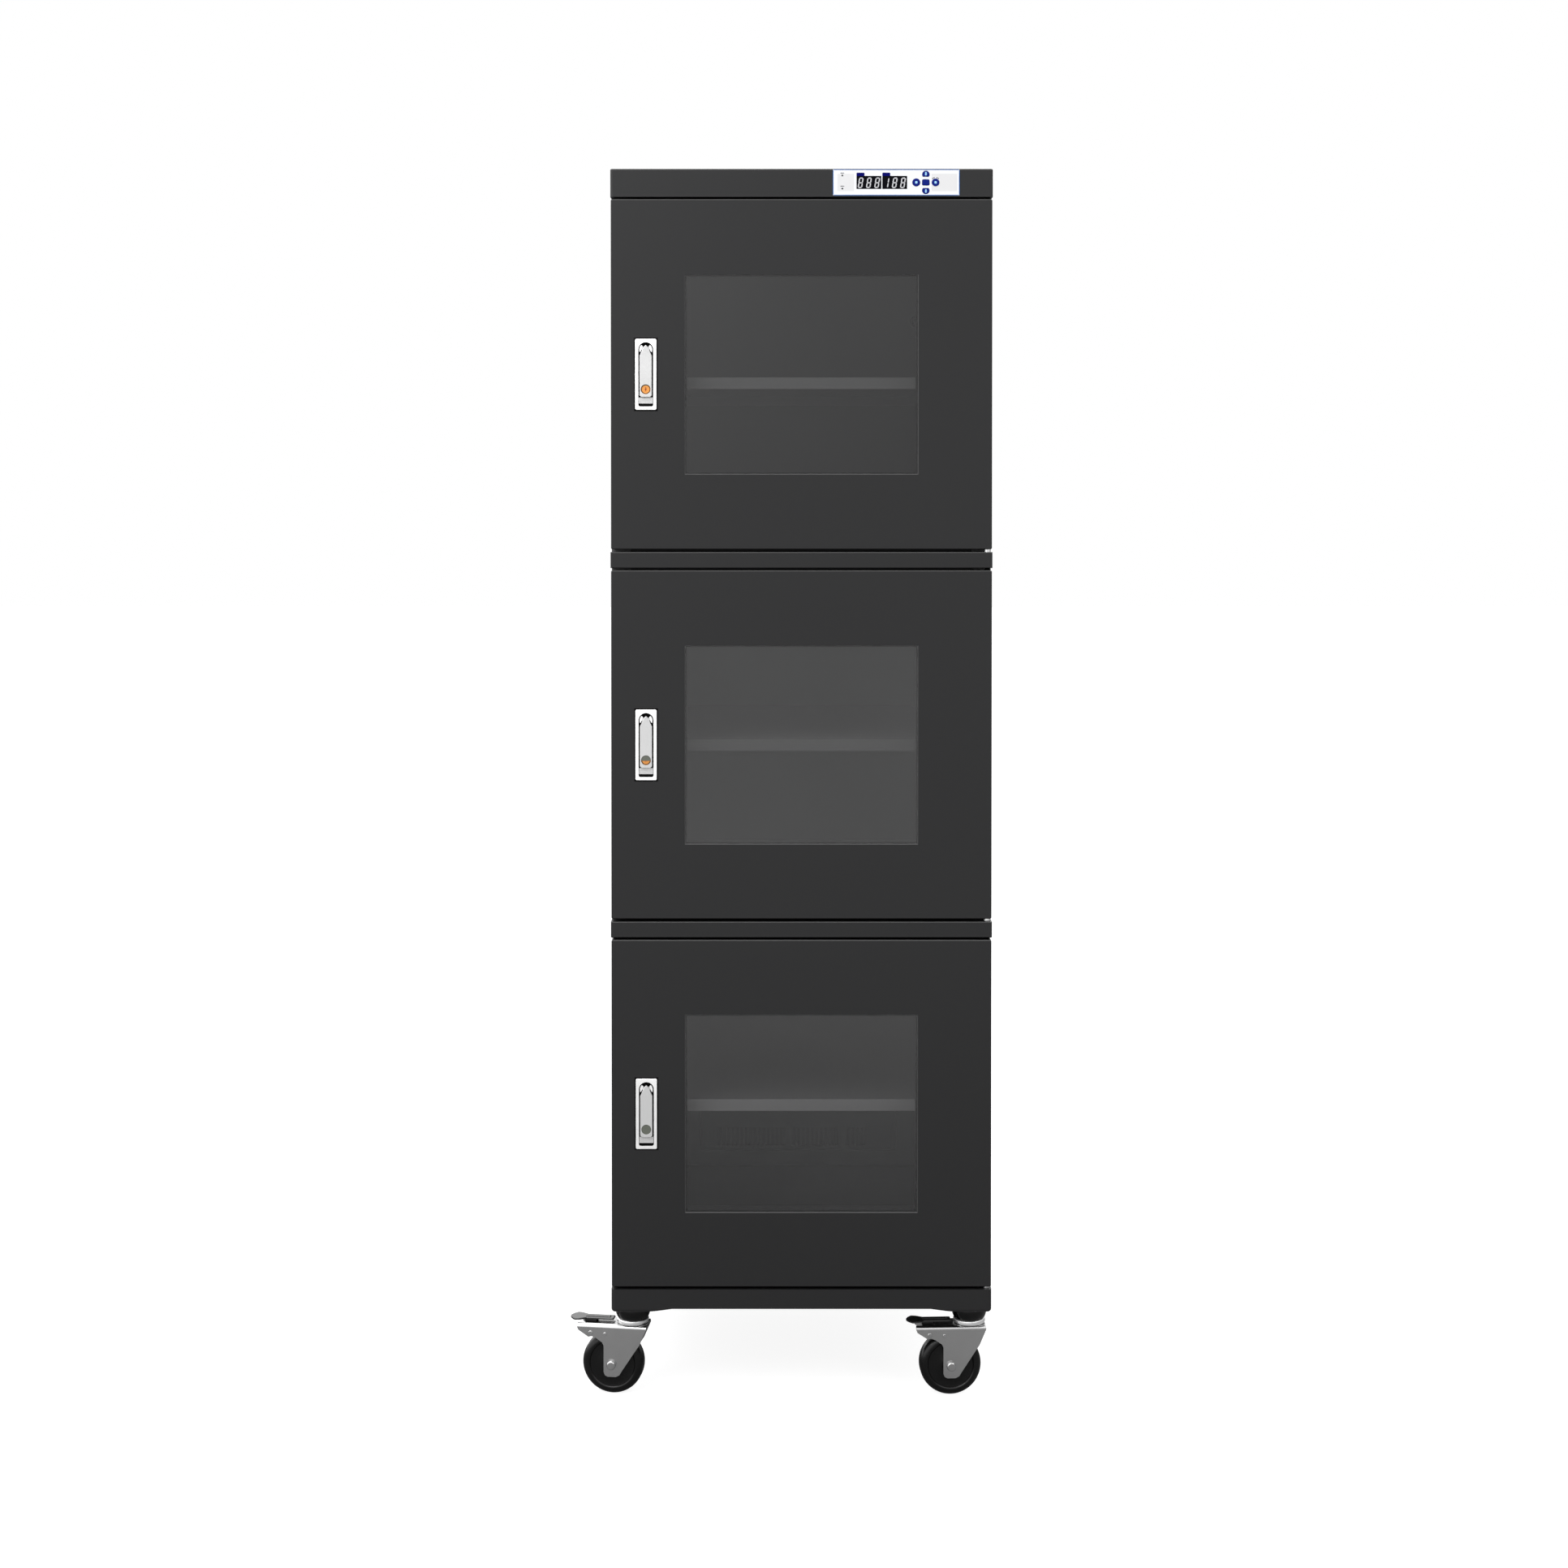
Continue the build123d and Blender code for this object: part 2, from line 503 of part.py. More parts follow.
def lock_housing(z):
    """Die-cast bezel and body, with the handle's recess, the rotor's bore and the button's pocket."""
    place = Pos(LOCK_X, FRONT, z)
    bezel = plate(BEZEL_WIDTH, BEZEL_HEIGHT, -BEZEL_PROUD, 0, 2.5)
    bezel = fillet(bezel.faces().sort_by(Axis.Y)[0].edges(), 0.8)
    body = plate(27, 104, 0, 17, 1.4)
    recess = Pos(0, -10, 0) * extrude(Plane.XZ * recess_outline(), amount=13.5, dir=(0, 1, 0))
    bore = rod(RECESS_WIDTH / 2, -5, 14.5, 0, ROTOR_Z)
    spindle = rod(6.15, 10, 20, 0, ROTOR_Z)
    pocket = block(-11.2, 11.2, 0, 14, BUTTON_TOP - BUTTON_HEIGHT - 0.3, BUTTON_TOP + 0.3)
    return place * (bezel + body - recess - bore - spindle - pocket)


def lock_rotor(z):
    """Turning head with two ears for the handle, its spindle through the door, and the cam behind."""
    head = rod(ROTOR_RADIUS, -BEZEL_PROUD, 14.2)
    head -= block(-20, 20, -5, 3, 5.6, 20)
    head -= block(-20, 20, -5, 3, -20, -2.8)
    slot = block(-6.1, 6.1, -5, 11.2, -20, 20)
    spindle = rod(6.0, 14.2, CAM_DEPTH)
    cam_length = CAM_REACH + 7.5
    cam = plate(15, cam_length, CAM_DEPTH - CAM_THICK, CAM_DEPTH, 7, (0, 7.5 - cam_length / 2))
    hub = rod(8.5, CAM_DEPTH, CAM_DEPTH + 4.5)
    pin = crossbar(1.5, -10.5, 10.5, PIVOT_DEPTH, 0)
    return Pos(LOCK_X, FRONT, z + ROTOR_Z) * (head - slot + spindle + cam + hub + pin)


def lever_outline():
    """The handle from the front: parallel sides, a clipped foot and a pointed top at the pivot."""
    half, top, shoulder = LEVER_WIDTH / 2, 7.3, -9.7
    foot = LEVER_FOOT - ROTOR_Z
    right = [(0, top), (3.4, top - 3.2), (half - 1.2, shoulder + 2.6), (half, shoulder)]
    right += [(half, foot + 2.5), (half - 2.5, foot)]
    left = [(-x, z) for x, z in reversed(right[1:])]
    return make_face(Polyline(*right, *left, close=True))


def lock_lever(z):
    """Folding handle, hollow round the dust shutter, on a neck that holds the pivot."""
    key_z = KEY_Z - ROTOR_Z
    grip = Pos(0, LEVER_FRONT, 0) * extrude(
        Plane.XZ * lever_outline(), amount=LEVER_BACK - LEVER_FRONT, dir=(0, 1, 0)
    )
    grip = fillet(grip.faces().sort_by(Axis.Y)[0].edges(), 0.7)
    low, high = -SHUTTER_HEIGHT / 2 - 0.3, SHUTTER_HEIGHT / 2 + SHUTTER_TRAVEL + 0.3
    half = SHUTTER_WIDTH / 2 + 0.3
    grip -= Pos(0, LEVER_FRONT, key_z) * block(-half, half, 0.6, 1.6, low, high)
    grip -= rod(KEY_RADIUS + 0.1, LEVER_FRONT - 1, LEVER_BACK + 1, 0, key_z)
    neck = block(-5.8, 5.8, -4, 1.9, -8.5, 4.0) + crossbar(2.9, -5.8, 5.8, PIVOT_DEPTH, 0)
    lever = grip + neck - crossbar(1.6, -12, 12, PIVOT_DEPTH, 0)
    return Pos(LOCK_X, FRONT, z + ROTOR_Z) * lever


def key_plug(z):
    """Round key cylinder with its keyway and a turned groove inside the rim."""
    front = LEVER_FRONT + 1.7
    plug = rod(KEY_RADIUS, front, LEVER_BACK - 0.1)
    plug = fillet(plug.faces().sort_by(Axis.Y)[0].edges(), 0.4)
    groove = rod(KEY_RADIUS - 0.9, front - 1, front + 0.5) - rod(KEY_RADIUS - 1.5, front - 2, front + 1)
    keyway = block(-0.8, 0.8, front - 1, front + 1.3, -3.4, 3.4)
    return Pos(LOCK_X, FRONT, z + KEY_Z) * (plug - groove - keyway)


def key_shutter(z, lift):
    """Thin dust shutter that slides up inside the handle to bare the key cylinder."""
    leaf = plate(SHUTTER_WIDTH, SHUTTER_HEIGHT, LEVER_FRONT + 0.85, LEVER_FRONT + 1.35, 3)
    return Pos(LOCK_X, FRONT, z + KEY_Z + lift) * leaf


def release_button(z):
    """Thumb button under the handle's foot, with three ribs across it."""
    top, low = BUTTON_TOP, BUTTON_TOP - BUTTON_HEIGHT
    body = block(-10.9, 10.9, -BUTTON_PROUD, 10.0, low, top)
    groove = block(-9.4, 9.4, -4, 0.7 - BUTTON_PROUD, 1.7, 2.9)
    grooves = [Pos(0, 0, low + 2.35 * i) * groove for i in range(3)]
    return Pos(LOCK_X, FRONT, z) * (body - grooves)


# ---- casters ------------------------------------------------------------------------------------
def place_caster(solid, x, y, angle):
    """Casters are drawn on their swivel axis, trailing to +X, then turned and set in place."""
    return Pos(x, y, 0) * Rot(0, 0, angle) * solid


def fork_cheek(braked):
    """Outline of a fork's side plate, in X and Z; the braked fork reaches back to the pedal's pivot."""
    top = FORK_TOP + 1
    points = [(FORK_NOSE, top), (FORK_NOSE, 107), (-14.4, 82.5), (14.5, 39), (18, 33), (24, 29.8)]
    points += [(37, 29.8), (41.5, 32), (43.5, 37), (43.5, 79)]
    if braked:
        points += [(46, 84), (56, 91), (63, 93.6), (68.5, 92.3), (85, 103), (87, 108), (86.5, top)]
    else:
        points += [(46, 86), (53, 95), (54, top)]
    return make_face(Polyline(*points, close=True))


def bent_sheet(half, top, bend):
    """A long bar with its two upper edges rounded."""
    bar = block(2 * FORK_NOSE, 4 * -FORK_NOSE, -half, half, 0, top)
    return fillet(bar.edges().filter_by(Axis.X).group_by(Axis.Z)[-1], bend)


def swivel_cup():
    """Ball race pressed onto the crown, hollow round the head of the stem."""
    cup = post(CUP_RADIUS, FORK_TOP, CUP_TOP)
    lower, upper = cup.edges().filter_by(GeomType.CIRCLE).sort_by(Axis.Z)
    cup = fillet(lower, 3.6)
    return fillet(cup.edges().filter_by(GeomType.CIRCLE).sort_by(Axis.Z)[-1], 2.2)


def axle_bolt():
    """Bolt with a low domed head on one side, a nut on the other, and a washer under each."""
    end = FORK_GAP / 2 + FORK_SHEET
    dome = fillet(rod(7.2, end + 1.2, end + 5.2).edges().sort_by(Axis.Y)[-1], 2.4)
    nut = Pos(0, -end - 6.7, 0) * extrude(Plane.XZ * RegularPolygon(8.2, 6), amount=5.5, dir=(0, 1, 0))
    washers = [rod(8.8, end, end + 1.2), rod(8.8, -end - 1.2, -end)]
    thread = rod(AXLE_RADIUS - 0.8, -end - 9, -end - 6)
    return Pos(TRAIL, 0, WHEEL_RADIUS) * (rod(AXLE_RADIUS, -end, end) + dome + nut + washers + thread)


def rivet(place, radius):
    """Rivet through both cheeks or on one, with a low domed head outside."""
    end = FORK_GAP / 2 + FORK_SHEET
    head = fillet(rod(radius + 0.8, end, end + 1.2).edges().sort_by(Axis.Y)[-1], 0.8)
    return Pos(place[0], 0, place[1]) * (head + rod(radius, FORK_GAP / 2, end))


def caster_fork(braked):
    """Pressed fork with its swivel cup, axle bolt and rivets, and the brake pedal's pin."""
    half = FORK_GAP / 2
    fork = bent_sheet(half + FORK_SHEET, FORK_TOP, FORK_BEND)
    fork -= bent_sheet(half, FORK_TOP - FORK_SHEET, FORK_BEND - FORK_SHEET)
    fork &= extrude(Plane.XZ * fork_cheek(braked), amount=DEPTH, both=True)
    fork = fork + swivel_cup() - post(7.5, FORK_TOP - 10, CUP_TOP + 5)
    fork -= post(15.5, FORK_TOP - 10, CUP_TOP - 3.5)
    end = half + FORK_SHEET
    fork -= rod(AXLE_RADIUS, -end - 1, end + 1, TRAIL, WHEEL_RADIUS)
    pieces = [axle_bolt()]
    if braked:
        px, pz = PEDAL_PIVOT
        fork -= block(px - 9, px + 40, -half + 3, half - 3, FORK_TOP - 5, FORK_TOP + 1)
        fork -= rod(3, -end - 1, end + 1, px, pz)
        pin = rivet(PEDAL_PIVOT, 3) + rod(3, -end - 1.2, half, px, pz)
        place = (41.5, 97.6)
        fork -= rod(2.2, half - 1, end + 1, *place)
        pieces += [pin, rivet(place, 2.2)]
    return [fork] + pieces


def caster_wheel():
    """Solid wheel with a round-shouldered tread, a dished web on each face and a hub with a plain bore."""
    half, rim, bore = WHEEL_WIDTH / 2, WHEEL_RADIUS, AXLE_RADIUS + 0.1
    low, inner = half - WHEEL_SHOULDER, rim - WHEEL_SHOULDER
    diagonal = WHEEL_SHOULDER / 2**0.5
    hub = [(bore, half + 2.4), (13, half + 2.4), (14.5, half - 1.5)]
    face = Polyline(*hub, (35.5, half - 2.8), (37, half - 0.8), (inner, half))
    shoulder = ThreePointArc((inner, half), (inner + diagonal, low + diagonal), (rim, low))
    side = face + shoulder + Line((rim, low), (rim, 0))
    outline = side + mirror(side, about=Plane.XZ) + Line((bore, half + 2.4), (bore, -half - 2.4))
    wheel = revolve(Plane.XY * make_face(outline), Axis.Y, 360)
    return Pos(TRAIL, 0, WHEEL_RADIUS) * wheel


def brake_pedal():
    """Foot pedal: a narrow bar with a bead along it and a pointed pad, on two ears round its pin."""
    px, pz = PEDAL_PIVOT
    edge = [(30, 7), (32, 8.5), (74, 8.5), (84, 14.5), (92, 16), (98, 9), (101, 2.5)]
    outline = make_face(Polyline(*edge, *[(x, -y) for x, y in reversed(edge)], close=True))
    tread = Pos(0, 0, PEDAL_HEIGHT) * extrude(outline, amount=2.6)
    tread = fillet(tread.faces().sort_by(Axis.Z)[-1].edges(), 1.0)
    bead = block(36, 76, -3, 3, PEDAL_HEIGHT + 1, PEDAL_HEIGHT + 3.8)
    bead = fillet(bead.faces().sort_by(Axis.Z)[-1].edges(), 1.1)
    ear = [(px - 7, PEDAL_HEIGHT + 1), (px + 13, PEDAL_HEIGHT + 1), (px + 5.5, pz - 4), (px - 5.5, pz - 4)]
    ear_face = make_face(Polyline(*ear, close=True))
    ears = extrude(Plane.XZ * ear_face, amount=8.5, both=True)
    ears -= extrude(Plane.XZ * ear_face, amount=6, both=True)
    boss = rod(5.5, -12, 12, px, pz)
    return tread + bead + ears + boss - rod(3.1, -20, 20, px, pz)


def caster_stem():
    """Threaded stem up through the base, with the head that carries the fork and the lock nut inside."""
    stem = post(6.0, CUP_TOP - 5, 176)
    head = post(12.0, CUP_TOP - 8.5, CUP_TOP - 3.8)
    nut = Pos(0, 0, CASTER_HEIGHT + 7.6) * extrude(RegularPolygon(11, 6), amount=9)
    return stem + head + nut


def caster_bush():
    """Round-sided cover between the base and the swivel cup."""
    z, middle = CUP_TOP + 0.4, CUP_TOP + 8
    side = ThreePointArc((24.0, z), (27.2, middle), (22.4, CASTER_HEIGHT))
    bore = Polyline((22.4, CASTER_HEIGHT), (7.2, CASTER_HEIGHT), (7.2, z), (24.0, z))
    return revolve(Plane.XZ * make_face(side + bore), Axis.Z, 360)


# ---- assembly -----------------------------------------------------------------------------------
def build_nodes():
    nodes = {
        "outer_panels": group([side_panel(strikes=True), mirrored(side_panel()), back_panel()]),
        "top_cap": top_cap(),
        "base_pan": base_pan(),
        "front_rails": group(front_rail(z) for z in RAIL_Z),
        "hinge_pins": hinge_pins(),
        "shelves": group(shelf(z) for z in SHELF_Z),
        "shelf_supports": shelf_supports(),
        "drying_unit": group([drying_unit_case(), drying_unit_grille()]),
        "humidity_sensor": humidity_sensor(),
        "control_overlay": control_overlay(),
        "displays": displays(),
        "control_board": control_board(),
        "power_inlet": power_inlet(),
        "caster_stems": group(place_caster(caster_stem(), *spot[:3]) for spot in CASTERS.values()),
        "caster_bushes": group(place_caster(caster_bush(), *spot[:3]) for spot in CASTERS.values()),
    }
    for name in KEYS:
        nodes[name] = key_cap(name)
    for name, z in zip(DOOR_NAMES, DOOR_Z):
        nodes[f"{name}_door_skin"] = door_skin(z)
        nodes[f"{name}_door_liner"] = door_liner(z)
        nodes[f"{name}_door_glass"] = window_glass(z)
        nodes[f"{name}_door_seal"] = door_seal(z)
        nodes[f"{name}_lock_housing"] = lock_housing(z)
        nodes[f"{name}_lock_rotor"] = lock_rotor(z)
        nodes[f"{name}_lock_lever"] = lock_lever(z)
        nodes[f"{name}_key_plug"] = key_plug(z)
        nodes[f"{name}_key_shutter"] = key_shutter(z, SHUTTER_LIFT[name])
        nodes[f"{name}_release_button"] = release_button(z)
    for name, (x, y, angle, braked) in CASTERS.items():
        nodes[f"fork_{name}"] = group(place_caster(s, x, y, angle) for s in caster_fork(braked))
        nodes[f"wheel_{name}"] = place_caster(caster_wheel(), x, y, angle)
        if braked:
            nodes[f"pedal_{name}"] = place_caster(brake_pedal(), x, y, angle)
    return nodes


def main():
    os.makedirs("parts", exist_ok=True)
    for name, shape in build_nodes().items():
        export_step(shape, f"parts/{name}.step")


if __name__ == "__main__":
    main()
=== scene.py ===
"""Finishes and fine detail for a three-door dry cabinet, laid out as a Blender add-on.

Lengths are in metres. +X is to the right, the doors face -Y and +Z is up, as in the frame.
"""

import json
import math

import bmesh
import bpy
from bpy.props import FloatProperty, FloatVectorProperty, PointerProperty
from mathutils import Matrix, Vector


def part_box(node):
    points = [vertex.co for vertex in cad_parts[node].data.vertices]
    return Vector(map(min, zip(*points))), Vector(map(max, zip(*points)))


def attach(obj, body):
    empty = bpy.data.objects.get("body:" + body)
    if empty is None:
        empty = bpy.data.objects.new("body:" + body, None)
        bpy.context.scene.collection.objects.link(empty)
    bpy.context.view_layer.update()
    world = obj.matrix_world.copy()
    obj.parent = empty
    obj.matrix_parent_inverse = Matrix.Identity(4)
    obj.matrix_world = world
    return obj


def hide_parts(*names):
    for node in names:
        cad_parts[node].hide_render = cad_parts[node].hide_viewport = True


bl_info = {
    "name": "Dry cabinet dresser",
    "version": (1, 0, 0),
    "blender": (4, 5, 0),
    "location": "3D View > Sidebar > Dry Cabinet",
    "description": "Finishes and small detail for a three-door dry cabinet on casters",
    "category": "Object",
}

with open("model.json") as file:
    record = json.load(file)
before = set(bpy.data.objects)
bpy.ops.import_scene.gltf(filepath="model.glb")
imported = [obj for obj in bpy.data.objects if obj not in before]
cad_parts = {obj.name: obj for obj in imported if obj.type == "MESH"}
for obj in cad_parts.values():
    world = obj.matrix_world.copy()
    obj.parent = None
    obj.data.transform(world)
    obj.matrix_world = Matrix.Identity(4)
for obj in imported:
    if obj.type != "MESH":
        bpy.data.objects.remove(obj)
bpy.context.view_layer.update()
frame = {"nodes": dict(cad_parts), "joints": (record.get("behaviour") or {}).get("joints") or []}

MM = 0.001
DOORS = ("lower", "middle", "upper")
KEYS = ("key_left", "key_right", "key_up", "key_down", "key_set")
CASTERS = ("front_left", "front_right", "rear_left", "rear_right")
BRAKED = ("front_left", "front_right")

# Lock: the recess's half height and width. The housing keeps its bright plating only where it stands further
# than
# BEZEL_BRIGHT in front of the door; nearer the door it is painted black, a painted shade in the recess. The
# head is painted black as far as HEAD_DARK behind the door's face, a painted shade round the handle's point.
RECESS_HALF_HEIGHT, RECESS_HALF_WIDTH = 50.2 * MM, 11.75 * MM
BEZEL_BRIGHT, HEAD_DARK = 1.6 * MM, 12.5 * MM
CUP_HEIGHT = 8.1 * MM
# Shelves: how many steps up from the lowest one, and the factor on the paint of its front lip: the lowest
# lip is painted lighter, a painted highlight, and the lip two steps up darker, a painted shade.
SHELF_PITCH = 287.1 * MM
LIP_PAINTED_LIGHT = ((0, 1.8), (2, 0.62))
# The three runs of slots on the drying unit's face, each from its first slot to its last. Over each run the
# face is painted near black, a painted shade over the slots.
GRILLE_RUNS = ((-151.0 * MM, -24.8 * MM), (-12.0 * MM, 73.2 * MM), (88.0 * MM, 124.0 * MM))
GRILLE_UP, GRILLE_HEIGHT = 10.0 * MM, 34.0 * MM
UNIT_FACE_DEPTH = 1.0 * MM


# ---- settings a user would change ---------------------------------------------------------------
def colour(name, description, default):
    return FloatVectorProperty(
        name=name, description=description, default=default, subtype="COLOR", min=0, max=1, size=3
    )


class DRYCAB_PG_paint(bpy.types.PropertyGroup):
    """Powder coat inside and out."""

    shell: colour("Shell paint", "Dark powder coat of the doors and panels", (0.019, 0.019, 0.0197))
    # Painted light: the walls behind the windows are painted far lighter than the shell, in place of light
    # reaching the inside.
    inside: colour("Inside paint", "Powder coat of the walls behind the windows", (0.13, 0.13, 0.132))
    shelf: colour("Shelf paint", "Lighter paint of the shelves", (0.20, 0.20, 0.202))
    grain: FloatProperty(
        name="Grain size", description="Size of the powder coat's bumps", default=0.9 * MM,
        unit="LENGTH", min=0.1 * MM, max=5 * MM,
    )


class DRYCAB_PG_metal(bpy.types.PropertyGroup):
    """Bare and plated metal, rubber and brass."""

    plated: colour("Plated zinc", "Bright plating of the lock bezels", (0.97, 0.97, 0.97))
    satin: colour("Satin zinc", "Handles and buttons", (0.66, 0.66, 0.66))
    steel: colour("Pressed steel", "Caster forks and pedals", (0.46, 0.46, 0.46))
    brass: colour("Brass", "Key cylinders", (0.72, 0.30, 0.075))
    rubber: colour("Rubber", "Wheels, bushes and seals", (0.005, 0.005, 0.005))


class DRYCAB_PG_panel(bpy.types.PropertyGroup):
    """Control strip."""

    film: colour("Film", "White of the control strip", (0.93, 0.94, 0.97))
    patch: colour("Patch", "Light grey areas on the film", (0.80, 0.80, 0.81))
    rim: colour("Rim", "Blue line round the film", (0.045, 0.17, 0.50))
    key: colour("Key", "Blue of the keys", (0.002, 0.012, 0.20))
    digit: colour("Digit", "Segments of the displays", (0.60, 0.60, 0.63))


class DRYCAB_PG_stage(bpy.types.PropertyGroup):
    """Camera."""

    distance: FloatProperty(
        name="Distance", description="From the camera to the door fronts", default=3.740,
        unit="LENGTH", min=1, max=20,
    )
    height: FloatProperty(
        name="Height", description="Camera height above the floor", default=1.413,
        unit="LENGTH", min=0, max=5,
    )
    tilt: FloatProperty(
        name="Tilt", description="How far the camera looks down", default=math.radians(0.87),
        subtype="ANGLE", min=-1, max=1,
    )


def settings(kind):
    return getattr(bpy.context.scene, f"drycab_{kind}")


# ---- node groups --------------------------------------------------------------------------------
def new_group(name, inputs, outputs):
    group = bpy.data.node_groups.new(name, "ShaderNodeTree")
    for socket, kind, default in inputs:
        made = group.interface.new_socket(socket, in_out="INPUT", socket_type=kind)
        if default is not None:
            made.default_value = default
    for socket, kind in outputs:
        group.interface.new_socket(socket, in_out="OUTPUT", socket_type=kind)
    return group, group.nodes.new("NodeGroupInput"), group.nodes.new("NodeGroupOutput")


def noise(nodes, scale, detail=2.0, rough=0.5):
    node = nodes.new("ShaderNodeTexNoise")
    node.inputs["Scale"].default_value = scale
    node.inputs["Detail"].default_value = detail
    node.inputs["Roughness"].default_value = rough
    return node


def grain_group():
    """Fine bumps with a slow drift of shade: powder coat, moulded plastic and rubber."""
    group, gin, gout = new_group(
        "surface_grain",
        [
            ("Colour", "NodeSocketColor", (0.5, 0.5, 0.5, 1)),
            ("Drift", "NodeSocketFloat", 0.08),
            ("Bump Scale", "NodeSocketFloat", 900.0),
            ("Bump Height", "NodeSocketFloat", 0.2),
            ("Roughness", "NodeSocketFloat", 0.5),
        ],
        [("Colour", "NodeSocketColor"), ("Roughness", "NodeSocketFloat"), ("Normal", "NodeSocketVector")],
    )
    nodes, links = group.nodes, group.links
    place = nodes.new("ShaderNodeTexCoord")
    slow = noise(nodes, 2.2, 3.0)
    fine = noise(nodes, 900.0, 2.0, 0.6)
    links.new(place.outputs["Object"], slow.inputs["Vector"])
    links.new(place.outputs["Object"], fine.inputs["Vector"])
    links.new(gin.outputs["Bump Scale"], fine.inputs["Scale"])

    centred = nodes.new("ShaderNodeMath")
    centred.operation = "SUBTRACT"
    centred.inputs[1].default_value = 0.5
    links.new(slow.outputs["Fac"], centred.inputs[0])
    swing = nodes.new("ShaderNodeMath")
    swing.operation = "MULTIPLY_ADD"
    swing.inputs[2].default_value = 1.0
    links.new(centred.outputs[0], swing.inputs[0])
    links.new(gin.outputs["Drift"], swing.inputs[1])
    shade = nodes.new("ShaderNodeVectorMath")
    shade.operation = "SCALE"
    links.new(gin.outputs["Colour"], shade.inputs[0])
    links.new(swing.outputs[0], shade.inputs["Scale"])
    links.new(shade.outputs[0], gout.inputs["Colour"])

    rough = nodes.new("ShaderNodeMath")
    rough.operation = "MULTIPLY"
    links.new(gin.outputs["Roughness"], rough.inputs[0])
    links.new(swing.outputs[0], rough.inputs[1])
    links.new(rough.outputs[0], gout.inputs["Roughness"])

    bump = nodes.new("ShaderNodeBump")
    bump.inputs["Distance"].default_value = 0.15 * MM
    links.new(gin.outputs["Bump Height"], bump.inputs["Strength"])
    links.new(fine.outputs["Fac"], bump.inputs["Height"])
    links.new(bump.outputs[0], gout.inputs["Normal"])
    return group


def brush_group():
    """Fine lines along one axis, with smudges: brushed, rolled and plated metal."""
    group, gin, gout = new_group(
        "metal_brush",
        [
            ("Colour", "NodeSocketColor", (0.5, 0.5, 0.5, 1)),
            ("Stretch", "NodeSocketVector", (900.0, 900.0, 40.0)),
            ("Depth", "NodeSocketFloat", 0.1),
            ("Roughness", "NodeSocketFloat", 0.3),
            ("Smudge", "NodeSocketFloat", 0.2),
        ],
        [("Colour", "NodeSocketColor"), ("Roughness", "NodeSocketFloat"), ("Normal", "NodeSocketVector")],
    )
    nodes, links = group.nodes, group.links
    place = nodes.new("ShaderNodeTexCoord")
    stretch = nodes.new("ShaderNodeVectorMath")
    stretch.operation = "MULTIPLY"
    links.new(place.outputs["Object"], stretch.inputs[0])
    links.new(gin.outputs["Stretch"], stretch.inputs[1])
    lines = noise(nodes, 1.0, 3.0, 0.65)
    links.new(stretch.outputs[0], lines.inputs["Vector"])
    smudge = noise(nodes, 45.0, 3.0)
    links.new(place.outputs["Object"], smudge.inputs["Vector"])

    spread = nodes.new("ShaderNodeMapRange")
    spread.inputs["From Min"].default_value = 0.35
    spread.inputs["From Max"].default_value = 0.7
    links.new(smudge.outputs["Fac"], spread.inputs["Value"])
    extra = nodes.new("ShaderNodeMath")
    extra.operation = "MULTIPLY_ADD"
    links.new(spread.outputs[0], extra.inputs[0])
    links.new(gin.outputs["Smudge"], extra.inputs[1])
    links.new(gin.outputs["Roughness"], extra.inputs[2])
    links.new(extra.outputs[0], gout.inputs["Roughness"])

    tone = nodes.new("ShaderNodeMapRange")
    tone.inputs["To Min"].default_value = 0.94
    tone.inputs["To Max"].default_value = 1.04
    links.new(lines.outputs["Fac"], tone.inputs["Value"])
    shade = nodes.new("ShaderNodeVectorMath")
    shade.operation = "SCALE"
    links.new(gin.outputs["Colour"], shade.inputs[0])
    links.new(tone.outputs[0], shade.inputs["Scale"])
    links.new(shade.outputs[0], gout.inputs["Colour"])

    bump = nodes.new("ShaderNodeBump")
    bump.inputs["Distance"].default_value = 0.05 * MM
    links.new(gin.outputs["Depth"], bump.inputs["Strength"])
    links.new(lines.outputs["Fac"], bump.inputs["Height"])
    links.new(bump.outputs[0], gout.inputs["Normal"])
    return group


def box_mask_group():
    """One inside a box in Object coordinates and zero outside it, with a soft edge."""
    group, gin, gout = new_group(
        "box_mask",
        [
            ("Low", "NodeSocketVector", None), ("High", "NodeSocketVector", None),
            ("Soft", "NodeSocketFloat", 0.3 * MM),
        ],
        [("Mask", "NodeSocketFloat")],
    )
    nodes, links = group.nodes, group.links
    place = nodes.new("ShaderNodeTexCoord")
    above, below, least = (nodes.new("ShaderNodeVectorMath") for _ in range(3))
    above.operation = below.operation = "SUBTRACT"
    least.operation = "MINIMUM"
    links.new(place.outputs["Object"], above.inputs[0])
    links.new(gin.outputs["Low"], above.inputs[1])
    links.new(gin.outputs["High"], below.inputs[0])
    links.new(place.outputs["Object"], below.inputs[1])
    links.new(above.outputs[0], least.inputs[0])
    links.new(below.outputs[0], least.inputs[1])
    axes = nodes.new("ShaderNodeSeparateXYZ")
    links.new(least.outputs[0], axes.inputs[0])
    pair, all_three = nodes.new("ShaderNodeMath"), nodes.new("ShaderNodeMath")
    pair.operation = all_three.operation = "MINIMUM"
    links.new(axes.outputs[0], pair.inputs[0])
    links.new(axes.outputs[1], pair.inputs[1])
    links.new(pair.outputs[0], all_three.inputs[0])
    links.new(axes.outputs[2], all_three.inputs[1])
    ramp = nodes.new("ShaderNodeMapRange")
    ramp.inputs["From Min"].default_value = 0.0
    links.new(gin.outputs["Soft"], ramp.inputs["From Max"])
    links.new(all_three.outputs[0], ramp.inputs["Value"])
    links.new(ramp.outputs[0], gout.inputs["Mask"])
    return group


